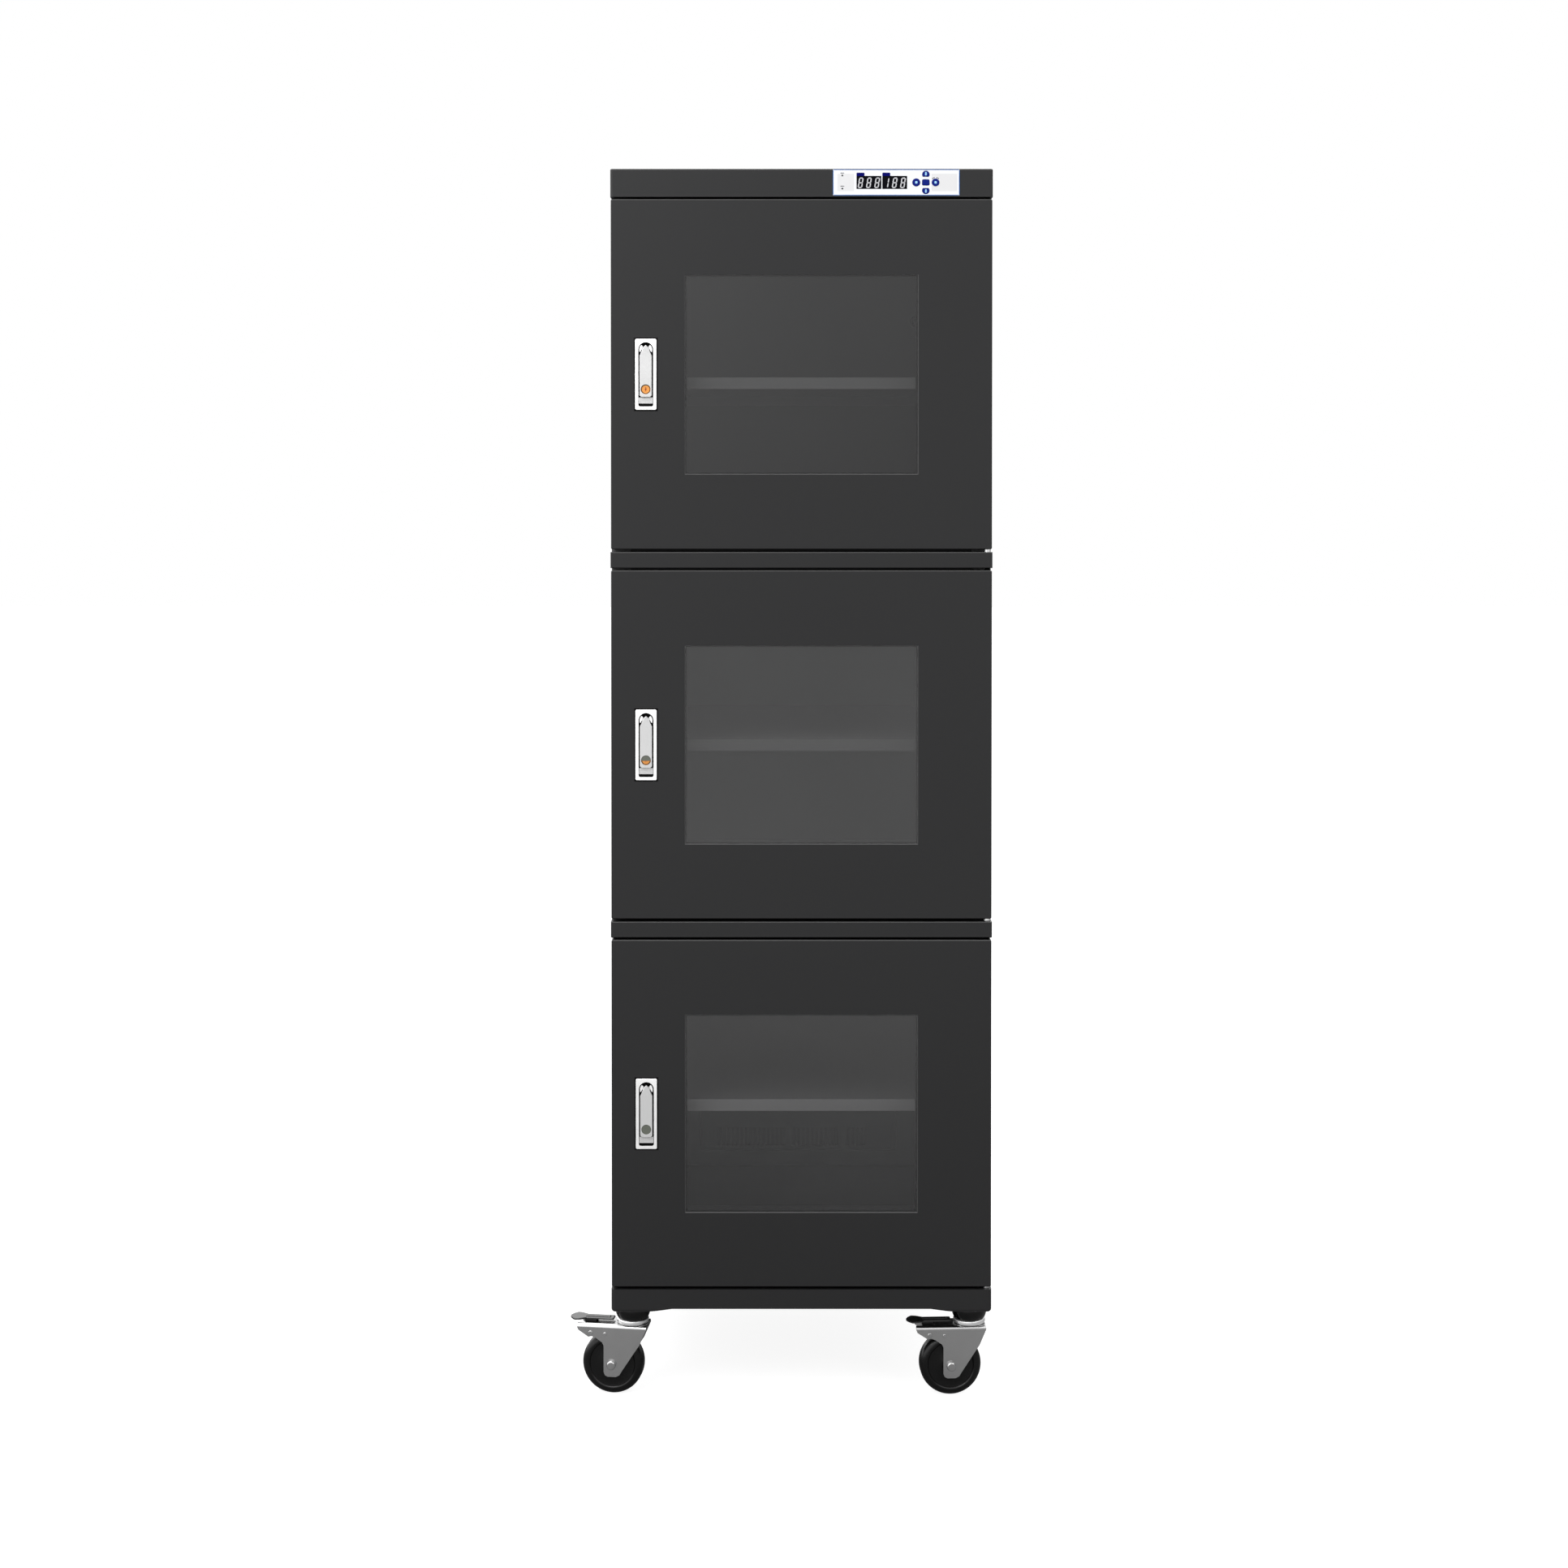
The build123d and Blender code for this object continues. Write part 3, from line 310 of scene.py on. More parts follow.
def bend_group():
    """Masks for the bends of folded sheet: one where it turns up and one where it turns down."""
    group, _, gout = new_group("sheet_bends", [], [("Up", "NodeSocketFloat"), ("Down", "NodeSocketFloat")])
    nodes, links = group.nodes, group.links
    shape = nodes.new("ShaderNodeNewGeometry")
    axes = nodes.new("ShaderNodeSeparateXYZ")
    links.new(shape.outputs["Normal"], axes.inputs[0])
    for name, side in (("Up", 1), ("Down", -1)):
        rise, fall = nodes.new("ShaderNodeMapRange"), nodes.new("ShaderNodeMapRange")
        for ramp, start, end in ((rise, 0.10, 0.45), (fall, 0.99, 0.93)):
            ramp.inputs["From Min"].default_value = side * start
            ramp.inputs["From Max"].default_value = side * end
            links.new(axes.outputs["Z"], ramp.inputs["Value"])
        both = nodes.new("ShaderNodeMath")
        both.operation = "MULTIPLY"
        links.new(rise.outputs[0], both.inputs[0])
        links.new(fall.outputs[0], both.inputs[1])
        links.new(both.outputs[0], gout.inputs[name])
    return group


# ---- materials ----------------------------------------------------------------------------------
def blank_material(name):
    made = bpy.data.materials.new(name)
    made.use_nodes = True
    return made, made.node_tree.nodes, made.node_tree.links, made.node_tree.nodes["Principled BSDF"]


def add_group(nodes, group_name):
    node = nodes.new("ShaderNodeGroup")
    node.node_tree = bpy.data.node_groups[group_name]
    return node


def grained(name, rgb, rough=0.5, drift=0.08, scale=900.0, height=0.2, coat=0.0, specular=0.5):
    """A material on the surface_grain group."""
    made, nodes, links, shader = blank_material(name)
    grain = add_group(nodes, "surface_grain")
    grain.inputs["Colour"].default_value = (*rgb, 1)
    grain.inputs["Drift"].default_value = drift
    grain.inputs["Bump Scale"].default_value = scale
    grain.inputs["Bump Height"].default_value = height
    grain.inputs["Roughness"].default_value = rough
    links.new(grain.outputs["Colour"], shader.inputs["Base Color"])
    links.new(grain.outputs["Roughness"], shader.inputs["Roughness"])
    links.new(grain.outputs["Normal"], shader.inputs["Normal"])
    shader.inputs["Coat Weight"].default_value = coat
    shader.inputs["Specular IOR Level"].default_value = specular
    return made


def brushed(name, rgb, rough=0.3, stretch=(900.0, 900.0, 40.0), depth=0.1, smudge=0.15, metallic=1.0):
    """A material on the metal_brush group."""
    made, nodes, links, shader = blank_material(name)
    brush = add_group(nodes, "metal_brush")
    brush.inputs["Colour"].default_value = (*rgb, 1)
    brush.inputs["Stretch"].default_value = stretch
    brush.inputs["Depth"].default_value = depth
    brush.inputs["Roughness"].default_value = rough
    brush.inputs["Smudge"].default_value = smudge
    links.new(brush.outputs["Colour"], shader.inputs["Base Color"])
    links.new(brush.outputs["Roughness"], shader.inputs["Roughness"])
    links.new(brush.outputs["Normal"], shader.inputs["Normal"])
    shader.inputs["Metallic"].default_value = metallic
    return made


SHADER_SOCKETS = {
    "colour": "Base Color", "rough": "Roughness", "metallic": "Metallic", "specular": "Specular IOR Level",
}


def add_mask(nodes, low, high, soft):
    mask = add_group(nodes, "box_mask")
    mask.inputs["Low"].default_value = low
    mask.inputs["High"].default_value = high
    mask.inputs["Soft"].default_value = soft
    return mask.outputs["Mask"]


def blend(nodes, links, mask, first, second, target):
    """Mixes a socket's value or colour with a fixed one by a mask, into the target."""
    mix = nodes.new("ShaderNodeMix")
    colours = isinstance(second, tuple)
    mix.data_type = "RGBA" if colours else "FLOAT"
    if colours:
        entry, other, out = mix.inputs[6], mix.inputs[7], mix.outputs[2]
        other.default_value = (*second, 1)
    else:
        entry, other, out = mix.inputs[2], mix.inputs[3], mix.outputs[0]
        other.default_value = second
    links.new(mask, mix.inputs[0])
    links.new(first, entry)
    links.new(out, target)


def masked(made, low, high, soft, **changes):
    """Gives a finished material other values inside a box: colour, rough, metallic or specular."""
    nodes, links = made.node_tree.nodes, made.node_tree.links
    mask = add_mask(nodes, low, high, soft)
    for change, value in changes.items():
        target = nodes["Principled BSDF"].inputs[SHADER_SOCKETS[change]]
        if target.links:
            blend(nodes, links, mask, target.links[0].from_socket, value, target)
        else:
            fade = nodes.new("ShaderNodeMapRange")
            fade.inputs["To Min"].default_value = target.default_value
            fade.inputs["To Max"].default_value = value
            links.new(mask, fade.inputs["Value"])
            links.new(fade.outputs[0], target)
    return made


def paint_bend_highlight_and_shade(made, up, down):
    """Gives the bends of a sheet their own colour: a painted highlight where they turn up and a painted
    shade where they turn down.
    """
    nodes, links = made.node_tree.nodes, made.node_tree.links
    bends = add_group(nodes, "sheet_bends")
    target = nodes["Principled BSDF"].inputs["Base Color"]
    for name, tone in (("Up", up), ("Down", down)):
        blend(nodes, links, bends.outputs[name], target.links[0].from_socket, (tone, tone, tone), target)
    return made


def window_material():
    """Smoked glass: a see-through pane with a soft veil."""
    made, nodes, links, shader = blank_material("smoked_glass")
    place = nodes.new("ShaderNodeTexCoord")
    drift = noise(nodes, 2.4, 1.0)
    links.new(place.outputs["Object"], drift.inputs["Vector"])
    veil = nodes.new("ShaderNodeMapRange")
    veil.inputs["From Min"].default_value = 0.3
    veil.inputs["From Max"].default_value = 0.7
    veil.inputs["To Min"].default_value = 0.32
    veil.inputs["To Max"].default_value = 0.38
    links.new(drift.outputs["Fac"], veil.inputs["Value"])
    links.new(veil.outputs[0], shader.inputs["Alpha"])
    shader.inputs["Base Color"].default_value = (0.045, 0.045, 0.046, 1)
    shader.inputs["Roughness"].default_value = 0.05
    shader.inputs["IOR"].default_value = 1.58
    shader.inputs["Specular IOR Level"].default_value = 1.0
    return made


def make_materials():
    """Builds every finish once and returns them by name."""
    paint, metal, panel = settings("paint"), settings("metal"), settings("panel")
    grain_group()
    brush_group()
    box_mask_group()
    bend_group()
    fine = 1.0 / paint.grain
    inside = tuple(paint.inside)
    shell_low, shell_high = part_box("outer_panels")
    sheet = 0.6 * MM
    room = ((shell_low.x + sheet, shell_low.y - 1, shell_low.z - 1),
            (shell_high.x - sheet, shell_high.y - 3 * sheet, shell_high.z + 1))
    floor_z = shell_low.z
    floor = ((shell_low.x + 2 * sheet, shell_low.y, floor_z - sheet),
             (shell_high.x - 2 * sheet, shell_high.y, 1))
    black = (0.004, 0.004, 0.004)
    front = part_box("upper_door_skin")[0].y
    # Boxes for painted shade on the lock: the recess of the housing and the turning head.
    recess_shade_box = ((-1, front - BEZEL_BRIGHT, 0), (1, 1, 3))
    head = ((-1, -1, 0), (1, front + HEAD_DARK, 3))
    # Painted highlight and shade on the door coat: bends turning up are painted lighter, bends turning down
    # near black.
    door_paint = paint_bend_highlight_and_shade(
        grained("door_powder_coat", paint.shell, 0.42, 0.08, fine, 0.16, specular=0.22), 0.085, 0.001
    )
    # Painted shadow: within 2.6 mm round each lock housing the door coat is painted black.
    for door in DOORS:
        low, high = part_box(f"{door}_lock_housing")
        shade_halo = 2.6 * MM
        door_paint = masked(
            door_paint, (low.x - shade_halo, -1, low.z - shade_halo), (high.x + shade_halo, 1, high.z + shade_halo), 1.7 * MM,
            colour=black, specular=0.0,
        )
    pins = brushed("pin_steel", (0.92, 0.92, 0.92), 0.30, (300, 300, 300), 0.04, 0.1)
    # Painted shade: each pin is painted black from 5 mm below to 10 mm above its door's top edge, in the gap
    # over the door.
    for door in DOORS:
        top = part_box(f"{door}_door_skin")[1].z
        pins = masked(pins, (-1, -1, top - 5 * MM), (1, 1, top + 10 * MM), 1 * MM, colour=black, rough=0.8)
    cup_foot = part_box("caster_bushes")[0].z - CUP_HEIGHT
    unit_tone = (0.036, 0.036, 0.037)
    unit_low, unit_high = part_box("drying_unit")
    # Painted shade: the drying unit is painted black on its sides and in a 2.6 mm band round its face; only
    # the face inside that band, and the part behind the back wall, keep the unit's tone.
    rim = 2.6 * MM
    unit = masked(
        grained("unit_paint", black, 0.45, 0.08, 1400, 0.1),
        (unit_low.x + rim, -1, unit_low.z + rim),
        (unit_high.x - rim, unit_low.y + UNIT_FACE_DEPTH, unit_high.z - rim),
        0.3 * MM, colour=unit_tone,
    )
    # Painted shade: over each run of slots the unit's face is painted near black.
    slots_low = unit_low.z + GRILLE_UP
    for start, end in GRILLE_RUNS:
        unit = masked(
            unit, (start, -1, slots_low),
            (end, unit_low.y + UNIT_FACE_DEPTH, slots_low + GRILLE_HEIGHT), 0.3 * MM,
            colour=(0.008, 0.008, 0.008), specular=0.1,
        )
    unit = masked(unit, (-1, shell_high.y - 0.1 * MM, -1), (1, 1, 3), 0.1 * MM, colour=unit_tone)
    # Painted light: inside the cabinet the walls take the much lighter inside colour, in place of light
    # coming in through the windows.
    walls = masked(
        grained("wall_powder_coat", paint.shell, 0.42, 0.08, fine, 0.16, specular=0.22),
        *room, sheet, colour=inside, rough=0.5,
    )
    # Painted shadow: the lowest 2.4 mm of the inside walls, along the floor, is painted black.
    walls = masked(
        walls, room[0], (room[1][0], room[1][1], floor_z + 2.4 * MM), 0.3 * MM, colour=black, specular=0.0
    )
    shelf = grained("shelf_paint", paint.shelf, 0.42, 0.05, fine, 0.08)
    shelf_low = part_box("shelves")[0]
    # Painted light and shade: the lowest shelf's front lip is painted lighter and the one two steps up
    # darker.
    for step, tone in LIP_PAINTED_LIGHT:
        foot = shelf_low.z + step * SHELF_PITCH
        shelf = masked(
            shelf, (-1, -1, foot - 1 * MM), (1, shelf_low.y + 1.2 * MM, foot + 20 * MM), 0.3 * MM,
            colour=tuple(value * tone for value in tuple(paint.shelf)[:3]),
        )
    return {
        # Painted highlight and shade on the shell coat: bends turning up are painted lighter, bends turning
        # down near black.
        "shell": paint_bend_highlight_and_shade(
            grained("shell_powder_coat", paint.shell, 0.42, 0.08, fine, 0.16, specular=0.22), 0.085, 0.001
        ),
        "door": door_paint,
        "walls": walls,
        "pan": masked(
            grained("pan_powder_coat", paint.shell, 0.42, 0.08, fine, 0.16, specular=0.22),
            *floor, sheet, colour=tuple(paint.shell), rough=0.24,
        ),
        "inside": grained("inside_powder_coat", paint.shell, 0.45, 0.10, fine, 0.15, specular=0.3),
        "shelf": shelf,
        "galvanised": brushed("galvanised_steel", (0.20, 0.20, 0.205), 0.45, (60, 60, 60), 0.1, 0.2, 0.6),
        "glass": window_material(),
        "seal": grained("seal_rubber", metal.rubber, 0.7, 0.2, 500, 0.2),
        # Painted shade: the housing is painted black wherever it is not more than BEZEL_BRIGHT proud of the
        # door.
        "plated": masked(
            brushed("plated_zinc", metal.plated, 0.40, (300, 300, 300), 0.03, 0.08, 1.0),
            *recess_shade_box, 0.6 * MM, colour=black, rough=0.5, metallic=0.0, specular=0.1,
        ),
        # Painted shade: the turning head is painted black up to HEAD_DARK behind the door's face; the ears
        # stay bright.
        "rotor": masked(
            brushed("rotor_zinc", metal.plated, 0.40, (300, 300, 300), 0.03, 0.08, 1.0),
            *head, 0.5 * MM, colour=black, rough=0.5, metallic=0.0, specular=0.1,
        ),
        "satin": brushed("satin_zinc", metal.satin, 0.36, (1500, 1500, 60), 0.05, 0.08, 0.4),
        "brass": brushed("key_brass", metal.brass, 0.30, (700, 700, 700), 0.25, 0.25, 0.6),
        # Painted shade: the dark ring on each key plug's face stands for the shade of the gap round the
        # plug.
        "key_rim": brushed("key_rim_painted_shade", (0.06, 0.035, 0.02), 0.3, (700, 700, 700), 0.1, 0.2),
        "shutter": grained("shutter_film", (0.13, 0.14, 0.115), 0.55, 0.5, 2500, 0.5),
        "film": grained("strip_film", panel.film, 0.30, 0.03, 3000, 0.03, 0.3),
        "patch": grained("strip_patch", panel.patch, 0.35, 0.03, 3000, 0.03),
        "rim": grained("strip_rim", panel.rim, 0.35, 0.05, 3000, 0.05, specular=0.1),
        "display": grained("display_window", (0.002, 0.002, 0.004), 0.2, 0.1, 3000, 0.02, specular=0.06),
        "digit": grained("display_digit", panel.digit, 0.4, 0.05, 3000, 0.03),
        "tab": grained("display_tab", (0.001, 0.002, 0.13), 0.4, 0.05, 3000, 0.05, specular=0.05),
        "key": grained("key_plastic", panel.key, 0.22, 0.25, 1500, 0.05, specular=0.15),
        # Partly print, partly painted highlight: light-blue marks shaped like the keys' glints, where the
        # arrows sit.
        "glint": grained("key_print_and_glint", (0.36, 0.68, 0.97), 0.3, 0.1, 1500, 0.05),
        "board": grained("board_lacquer", (0.03, 0.12, 0.06), 0.35, 0.2, 1200, 0.2),
        "plastic": grained("moulded_plastic", (0.022, 0.022, 0.023), 0.5, 0.12, 1400, 0.2),
        "unit": unit,
        "sensor": grained("sensor_plastic", (0.001, 0.001, 0.001), 0.6, 0.1, 1400, 0.05, specular=0.05),
        "fork": masked(
            brushed("pressed_steel", metal.steel, 0.22, (60, 60, 60), 0.01, 0.03),
            (-1, -1, cup_foot), (1, 1, 1), 0.5 * MM, colour=(0.97, 0.97, 0.97), rough=0.42,
        ),
        "pedal": brushed("pedal_steel", (0.075, 0.075, 0.075), 0.30, (60, 60, 60), 0.02, 0.05),
        "steel": brushed("plain_steel", metal.steel, 0.22, (60, 60, 60), 0.03, 0.08),
        "cover": grained("cover_lacquer", (0.002, 0.002, 0.002), 0.12, 0.1, 900, 0.02, specular=0.3),
        "rubber": grained("wheel_rubber", metal.rubber, 0.26, 0.3, 900, 0.05, specular=0.22),
        "pins": pins,
        "ear": brushed("ear_zinc", metal.plated, 0.40, (300, 300, 300), 0.03, 0.08),
        # Painted shade: the dark red disc in each plug's middle stands for the shade in the keyway.
        "key_dot": grained("key_slot", (0.32, 0.05, 0.01), 0.4, 0.1, 3000, 0.05),
        # Painted highlight: the window chamfer is painted about four times lighter than the door coat.
        "trim": grained("window_edge", (0.075, 0.075, 0.076), 0.35, 0.05, 1400, 0.03, specular=0.2),
        "mark": grained("printed_mark", (0.02, 0.02, 0.022), 0.5, 0.1, 3000, 0.03, specular=0.1),
    }


MATERIALS = {}


# ---- mesh tools ---------------------------------------------------------------------------------
def finish_piece(name, bm, material, body, smooth=True):
    """Turns a bmesh into an object that rides on a body of the frame."""
    bmesh.ops.remove_doubles(bm, verts=bm.verts, dist=0.001 * MM)
    bmesh.ops.recalc_face_normals(bm, faces=bm.faces)
    for face in bm.faces:
        face.smooth = smooth
    for edge in bm.edges:
        if len(edge.link_faces) == 2 and edge.calc_face_angle(0.0) > math.radians(35):
            edge.smooth = False
    mesh = bpy.data.meshes.new(name)
    bm.to_mesh(mesh)
    bm.free()
    mesh.materials.append(MATERIALS[material])
    made = bpy.data.objects.new(name, mesh)
    bpy.context.scene.collection.objects.link(made)
    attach(made, body)
    return made


def front_plate(bm, x, z, width, height, y_front, depth, corner=0.0, soft=0.0):
    """Adds an upright plate that faces the front, with rounded corners and a softened front edge."""
    grid = bmesh.ops.create_grid(bm, x_segments=1, y_segments=1, size=0.5)
    verts = grid["verts"]
    bmesh.ops.scale(bm, vec=(width, height, 1), verts=verts)
    bmesh.ops.rotate(bm, verts=verts, cent=(0, 0, 0), matrix=Matrix.Rotation(math.pi / 2, 3, "X"))
    if corner:
        cut = bmesh.ops.bevel(
            bm, geom=verts, offset=corner, segments=5, profile=0.5, affect="VERTICES", material=-1
        )
        verts = cut["verts"]
    face = verts[0].link_faces[0]
    bmesh.ops.translate(bm, verts=face.verts, vec=(x, y_front, z))
    raised = bmesh.ops.extrude_face_region(bm, geom=[face])
    back = [v for v in raised["geom"] if isinstance(v, bmesh.types.BMVert)]
    bmesh.ops.translate(bm, verts=back, vec=(0, depth, 0))
    if soft:
        rim = [e for e in bm.edges if all(abs(v.co.y - y_front) < 1e-7 and v in face.verts for v in e.verts)]
        bmesh.ops.bevel(
            bm, geom=rim, offset=soft, segments=2, profile=0.5, affect="EDGES", material=-1
        )


def front_disc(bm, x, z, radius, y_front, depth, soft=0.0, segments=32):
    """Adds a disc that faces the front."""
    turn = Matrix.Rotation(math.pi / 2, 4, "X")
    place = Matrix.Translation((x, y_front + depth / 2, z))
    made = bmesh.ops.create_cone(
        bm, cap_ends=True, segments=segments, radius1=radius, radius2=radius, depth=depth,
        matrix=place @ turn,
    )
    if soft:
        rim = [
            e for e in {e for v in made["verts"] for e in v.link_edges}
            if all(abs(v.co.y - y_front) < 1e-6 for v in e.verts)
        ]
        bmesh.ops.bevel(bm, geom=rim, offset=soft, segments=2, profile=0.5, affect="EDGES", material=-1)


def spin_profile(bm, points, axis_point, axis, start, steps=96):
    """Turns a closed outline of (radius, along) points about an axis; start is the radial direction."""
    axis, start = Vector(axis).normalized(), Vector(start).normalized()
    centre = Vector(axis_point)
    verts = [bm.verts.new(centre + start * r + axis * a) for r, a in points]
    edges = [bm.edges.new((verts[i], verts[(i + 1) % len(verts)])) for i in range(len(verts))]
    bmesh.ops.spin(
        bm, geom=verts + edges, cent=centre, axis=axis, angle=2 * math.pi, steps=steps, use_merge=True
    )


def arc(cx, cy, radius, start, end, steps):
    """Points of a quarter or half round in an outline, in degrees."""
    turns = [math.radians(start + (end - start) * i / steps) for i in range(steps + 1)]
    return [(cx + radius * math.cos(t), cy + radius * math.sin(t)) for t in turns]


def middle(node):
    low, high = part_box(node)
    return (low + high) / 2


# ---- finishes on the frame's own parts ----------------------------------------------------------
def node_finishes():
    """Which finish each node of the frame wears."""
    wears = {
        "outer_panels": "walls", "top_cap": "shell", "base_pan": "pan", "front_rails": "shell",
        "hinge_pins": "pins", "shelves": "shelf", "shelf_supports": "galvanised",
        "drying_unit": "unit", "humidity_sensor": "sensor", "control_overlay": "film",
        "displays": "display", "control_board": "board", "power_inlet": "plastic",
        "caster_stems": "steel", "caster_bushes": "cover",
    }
    wears.update({key: "key" for key in KEYS})
    for door in DOORS:
        wears.update({
            f"{door}_door_skin": "door", f"{door}_door_liner": "inside", f"{door}_door_glass": "glass",
            f"{door}_door_seal": "seal", f"{door}_lock_housing": "plated", f"{door}_lock_rotor": "rotor",
            f"{door}_lock_lever": "satin", f"{door}_key_plug": "brass", f"{door}_key_shutter": "shutter",
            f"{door}_release_button": "satin",
        })
    for caster in CASTERS:
        wears[f"fork_{caster}"] = "fork"
        wears[f"wheel_{caster}"] = "rubber"
    for caster in BRAKED:
        wears[f"pedal_{caster}"] = "pedal"
    return wears


class DRYCAB_OT_finishes(bpy.types.Operator):
    """Build the finishes and put one on every part of the cabinet."""

    bl_idname = "drycab.finishes"
    bl_label = "Finishes"

    def execute(self, context):
        MATERIALS.update(make_materials())
        for node, finish in node_finishes().items():
            part = frame["nodes"][node]
            if not part.material_slots:
                part.data.materials.append(MATERIALS[finish])
            for place in part.material_slots:
                place.material = MATERIALS[finish]
        return {"FINISHED"}


# ---- control strip ------------------------------------------------------------------------------
SEGMENTS = {
    "a": (0, 1, 0), "g": (0, 0, 0), "d": (0, -1, 0),
    "b": (0.5, 0.5, 1), "c": (0.5, -0.5, 1), "e": (-0.5, -0.5, 1), "f": (-0.5, 0.5, 1),
}
FIGURES = {"1": "bc", "8": "abcdefg"}
SLANT = 0.08


def add_segment(bm, x, z, length, width, upright, y_front, depth, lean):
    """Adds one pointed bar of a seven-segment figure that leans to the right."""
    half, w = length / 2, width / 2
    outline = [(-half, 0), (-half + w, -w), (half - w, -w), (half, 0), (half - w, w), (-half + w, w)]
    if upright:
        outline = [(-v, u) for u, v in outline]
    verts = [bm.verts.new((x + u + lean + v * SLANT * 2, y_front, z + v)) for u, v in outline]
    face = bm.faces.new(verts)
    raised = bmesh.ops.extrude_face_region(bm, geom=[face])
    back = [v for v in raised["geom"] if isinstance(v, bmesh.types.BMVert)]
    bmesh.ops.translate(bm, verts=back, vec=(0, depth, 0))


class DRYCAB_OT_control_strip(bpy.types.Operator):
    """Add the film's rim and patches, the displays' figures and tabs, and the keys' marks, which are partly
    print and partly painted highlight.
    """

    bl_idname = "drycab.control_strip"
    bl_label = "Control strip"

    def execute(self, context):
        low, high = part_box("control_overlay")
        self.face = low.y
        self.centre_z = (low.z + high.z) / 2
        self.add_rim(low, high)
        self.add_patches(low)
        self.add_displays()
        self.add_key_marks()
        self.add_prints(low)
        return {"FINISHED"}

    def add_rim(self, low, high):
        line, skin = 1.0 * MM, 0.12 * MM
        bm = bmesh.new()
        x, z = (low.x + high.x) / 2, self.centre_z
        for edge_z in (low.z + line / 2, high.z - line / 2):
            front_plate(bm, x, edge_z, high.x - low.x - 2.4 * MM, line, self.face - skin, skin)
        for edge_x in (low.x + line / 2, high.x - line / 2):
            front_plate(bm, edge_x, z, line, high.z - low.z - 2.4 * MM, self.face - skin, skin)
        finish_piece("strip_rim_line", bm, "rim", "cabinet")

    def add_patches(self, low):
        skin = 0.06 * MM
        bm = bmesh.new()
        for start, width in ((7.0, 26.0), (154.0, 40.0)):
            front_plate(
                bm, low.x + (start + width / 2) * MM, self.centre_z, width * MM, 27 * MM,
                self.face - skin, skin, 1.0 * MM,
            )
        finish_piece("strip_patches", bm, "patch", "cabinet")

    def add_displays(self):
        low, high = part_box("displays")
        step = 40.3 * MM
        width = 38.6 * MM
        face = low.y
        tabs, figures = bmesh.new(), bmesh.new()
        figure_width, figure_height, bar = 5.4 * MM, 14.6 * MM, 1.8 * MM
        for start, text in ((low.x, "888"), (low.x + step, "188")):
            front_plate(
                tabs, start + 6.2 * MM, high.z + 2.0 * MM, 12.4 * MM, 6.2 * MM, self.face - 0.1 * MM,
                0.1 * MM, 1.2 * MM,
            )
            for i, figure in enumerate(text):
                x = start + width * (i + 0.5) / 3
                z = self.centre_z - 0.6 * MM
                for name in FIGURES[figure]:
                    dx, dz, upright = SEGMENTS[name]
                    add_segment(
                        figures, x + dx * figure_width, z + dz * figure_height / 2,
                        (figure_height / 2 if upright else figure_width) - 0.3 * MM, bar,
                        upright, face - 0.08 * MM, 0.08 * MM, dz * figure_height * SLANT,
                    )
        finish_piece("display_tabs", tabs, "tab", "cabinet")
        finish_piece("display_figures", figures, "digit", "cabinet", smooth=False)

    def add_key_marks(self):
        # Light-blue marks shaped like the keys' glints: partly print, partly painted highlight.
        skin = 0.12 * MM
        for key, width, height in (
            ("key_left", 3.8, 3.8), ("key_right", 3.8, 3.8), ("key_up", 2.6, 5.6), ("key_down", 2.6, 5.6)
        ):
            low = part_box(key)[0]
            centre = middle(key)
            bm = bmesh.new()
            front_plate(
                bm, centre.x, centre.z, width * MM, height * MM, low.y - skin, 2 * skin, 1.25 * MM
            )
            finish_piece(f"{key}_mark", bm, "glint", f"{key}_body")

    def add_prints(self, low):
        """Two small lamps at the left, each under a plain dash, and an arc over the right key."""
        skin = 0.1 * MM
        bm = bmesh.new()
        for dz in (12.2, -8.2):
            x, z = low.x + 14.8 * MM, self.centre_z + dz * MM
            front_plate(bm, x, z + 2.4 * MM, 5.8 * MM, 1.0 * MM, self.face - skin, skin, 0.2 * MM)
            front_disc(bm, x, z - 1.4 * MM, 1.4 * MM, self.face - 2 * skin, 2 * skin)
        right = middle("key_right")
        arc_radius = 7.6 * MM
        for angle in (-36, -18, 18, 36):
            turn = math.radians(angle)
            dx, dz = arc_radius * math.sin(turn), arc_radius * math.cos(turn)
            front_disc(bm, right.x + dx, right.z + dz, 0.9 * MM, self.face - skin, skin)
        finish_piece("strip_prints", bm, "mark", "cabinet")


# ---- doors and locks ----------------------------------------------------------------------------
def sloped_frame(bm, centre, width, height, y_front, y_back, lip):
    """Adds a thin frame whose face slopes back towards the middle, like a chamfer round an opening."""
    rings = []
    for shrink, y in ((0, y_front), (lip, y_back), (0, y_back)):
        half_x, half_z = width / 2 - shrink, height / 2 - shrink
        corners = ((-half_x, -half_z), (half_x, -half_z), (half_x, half_z), (-half_x, half_z))
        rings.append([bm.verts.new((centre.x + u, y, centre.z + v)) for u, v in corners])
    for i in range(3):
        near, far = rings[i], rings[(i + 1) % 3]
        for j in range(4):
            k = (j + 1) % 4
            bm.faces.new((near[j], near[k], far[k], far[j]))


